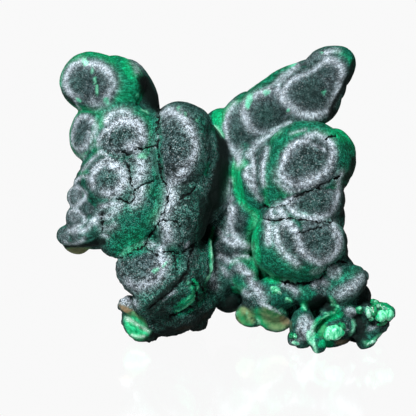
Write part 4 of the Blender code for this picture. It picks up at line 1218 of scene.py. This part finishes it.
for tint in TINTS:
    bm = bmesh.new()
    for number, (kind, (right, up), half, roll, out) in enumerate(CRYSTALS):
        if kind != tint:
            continue
        grown = bmesh.ops.create_icosphere(bm, subdivisions=3, radius=1.0)["verts"]
        for side in range(FACES):
            angle = 2.4 * side + 0.9 * number
            rise = -0.90 + 0.12 * side
            flat = math.sqrt(1.0 - rise * rise)
            way = Vector((flat * math.cos(angle), flat * math.sin(angle), rise))
            flatten(grown, way * (0.72 + 0.05 * math.sin(3.7 * side + number)), way)
        seat = Matrix.Translation((right, up, skin_front(right, up) + out - 0.4 * half[2]))
        rolled = Matrix.Rotation(math.radians(roll), 4, "Z")
        tipped = Matrix.Rotation(0.35 * math.sin(2.0 * number), 4, "X")
        sized = Matrix.Diagonal((*(SWOLLEN * side for side in half), 1.0))
        bmesh.ops.transform(bm, matrix=seat @ rolled @ tipped @ sized, verts=grown)
    bmesh.ops.dissolve_degenerate(bm, dist=0.02, edges=bm.edges)
    bmesh.ops.dissolve_limit(bm, angle_limit=math.radians(3.0), verts=bm.verts, edges=bm.edges)
    bmesh.ops.bevel(bm, geom=bm.edges, affect="EDGES", offset=EDGE, segments=1, profile=0.5, material=-1)
    bmesh.ops.transform(bm, matrix=stand(), verts=bm.verts)
    for vert in bm.verts:
        for axis in range(3):
            vert.co[axis] = min(max(vert.co[axis], low[axis]), high[axis])
    bmesh.ops.recalc_face_normals(bm, faces=bm.faces)
    cut = bpy.data.meshes.new("crystals_" + tint)
    bm.to_mesh(cut)
    bm.free()
    crystals = bpy.data.objects.new("crystals_" + tint, cut)
    bpy.context.collection.objects.link(crystals)
    clear, shader, add, join = finish_of("malachite_" + tint)
    place = add("TexCoord").outputs["Object"]
    streaks = given(add("Mapping"), {"Rotation": (0.3, 0.6, 0.2), "Scale": (1.0, 1.0, 0.25)})
    join(place, streaks.inputs["Vector"])
    veins = grain(add, join, streaks.outputs[0], 1300.0, 4.0, 0.75)
    veins = above(add, join, veins, 0.40, 4.5)
    join(blend(add, join, veins, *TINTS[tint]), shader.inputs["Base Color"])
    given(shader, {"Roughness": 0.22, "Subsurface Weight": 0.25})
    given(shader, {"Subsurface Radius": (0.0006, 0.0012, 0.0009)})
    ripples = given(add("Bump"), {"Strength": 0.7, "Distance": 0.0004})
    join(grain(add, join, place, 800.0, 3.0, 0.6), ripples.inputs["Height"])
    join(ripples.outputs[0], shader.inputs["Normal"])
    crystals.data.materials.append(clear)
    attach(crystals, "root")
    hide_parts("malachite")

# The floor: a plain pale sheet, a little glossy, that shows a faint reflection of the specimen.
FLOOR_HALF = 2.0
WHITE = (1.0, 1.0, 1.0, 1.0)
bm = bmesh.new()
bmesh.ops.create_grid(bm, x_segments=1, y_segments=1, size=FLOOR_HALF)
sheet = bpy.data.meshes.new("floor")
bm.to_mesh(sheet)
bm.free()
floor = bpy.data.objects.new("floor", sheet)
bpy.context.collection.objects.link(floor)
paper, shader, add, join = finish_of("pale_floor")
given(shader, {"Base Color": (0.34, 0.34, 0.34, 1.0), "Roughness": 0.6})
glow = given(add("Emission"), {"Color": WHITE, "Strength": 1.3})
gloss = given(add("BsdfGlossy"), {"Color": WHITE, "Roughness": 0.08})
mirror = given(add("MixShader"), {0: 0.28})
join(glow.outputs[0], mirror.inputs[1])
join(gloss.outputs[0], mirror.inputs[2])
choose = add("MixShader")
join(add("LightPath").outputs["Is Camera Ray"], choose.inputs[0])
join(shader.outputs[0], choose.inputs[1])
join(mirror.outputs[0], choose.inputs[2])
surface = next(node for node in paper.node_tree.nodes if node.type == "OUTPUT_MATERIAL")
join(choose.outputs[0], surface.inputs["Surface"])
floor.data.materials.append(paper)

# Studio light: one lamp from the upper left in front, a weak one from the right, one behind for the back, and
# a white room that lights little.
# Lamp, the way to it (right, up, front), how far off in millimetres, side in metres, power in watts,
# and whether it shows in gloss
LAMPS = (
    ("key", (-0.21, 0.49, 0.85), 700.0, 0.16, 8.1, True),
    ("fill", (0.60, 0.35, 0.72), 900.0, 0.6, 0.7, True),
    ("behind", (0.22, 0.30, -0.93), 900.0, 0.35, 8.0, False),
)
AIM = Vector((-2.0, 38.0, 0.0))


def placed(name, data, spot, aim):
    """A lamp or a camera at one face-on place, looking at another."""
    item = bpy.data.objects.new(name, data)
    bpy.context.collection.objects.link(item)
    item.location = stand() @ spot
    item.rotation_euler = (stand() @ aim - stand() @ spot).to_track_quat("-Z", "Y").to_euler()
    return item


for name, way, away, size, power, glossy in LAMPS:
    data = bpy.data.lights.new(name, "AREA")
    data.size = size
    data.energy = power
    placed(name, data, AIM + Vector(way).normalized() * away, AIM).visible_glossy = glossy
room = bpy.data.worlds.new("room")
bpy.context.scene.world = room
room.use_nodes = True
back = given(room.node_tree.nodes["Background"], {"Color": WHITE})
path = room.node_tree.nodes.new("ShaderNodeLightPath")
level = given(room.node_tree.nodes.new("ShaderNodeMapRange"), {"To Min": 0.035, "To Max": 1.0})
room.node_tree.links.new(path.outputs["Is Camera Ray"], level.inputs["Value"])
room.node_tree.links.new(level.outputs[0], back.inputs["Strength"])
bpy.context.scene.view_settings.view_transform = "Standard"

# Camera: a long lens, square on to the leaning face, at the photograph's angle and framing.
VIEW_CENTRE = Vector((-4.5, 36.5, 0.0))
VIEW_WIDTH = 104.0
VIEW_AWAY = 1500.0
SENSOR = 36.0
lens = bpy.data.cameras.new("camera")
lens.sensor_width = SENSOR
lens.lens = SENSOR * VIEW_AWAY / VIEW_WIDTH
lens.clip_start = 0.05
lens.clip_end = 20.0
bpy.context.scene.camera = placed("camera", lens, VIEW_CENTRE + Vector((0.0, 0.0, VIEW_AWAY)), VIEW_CENTRE)
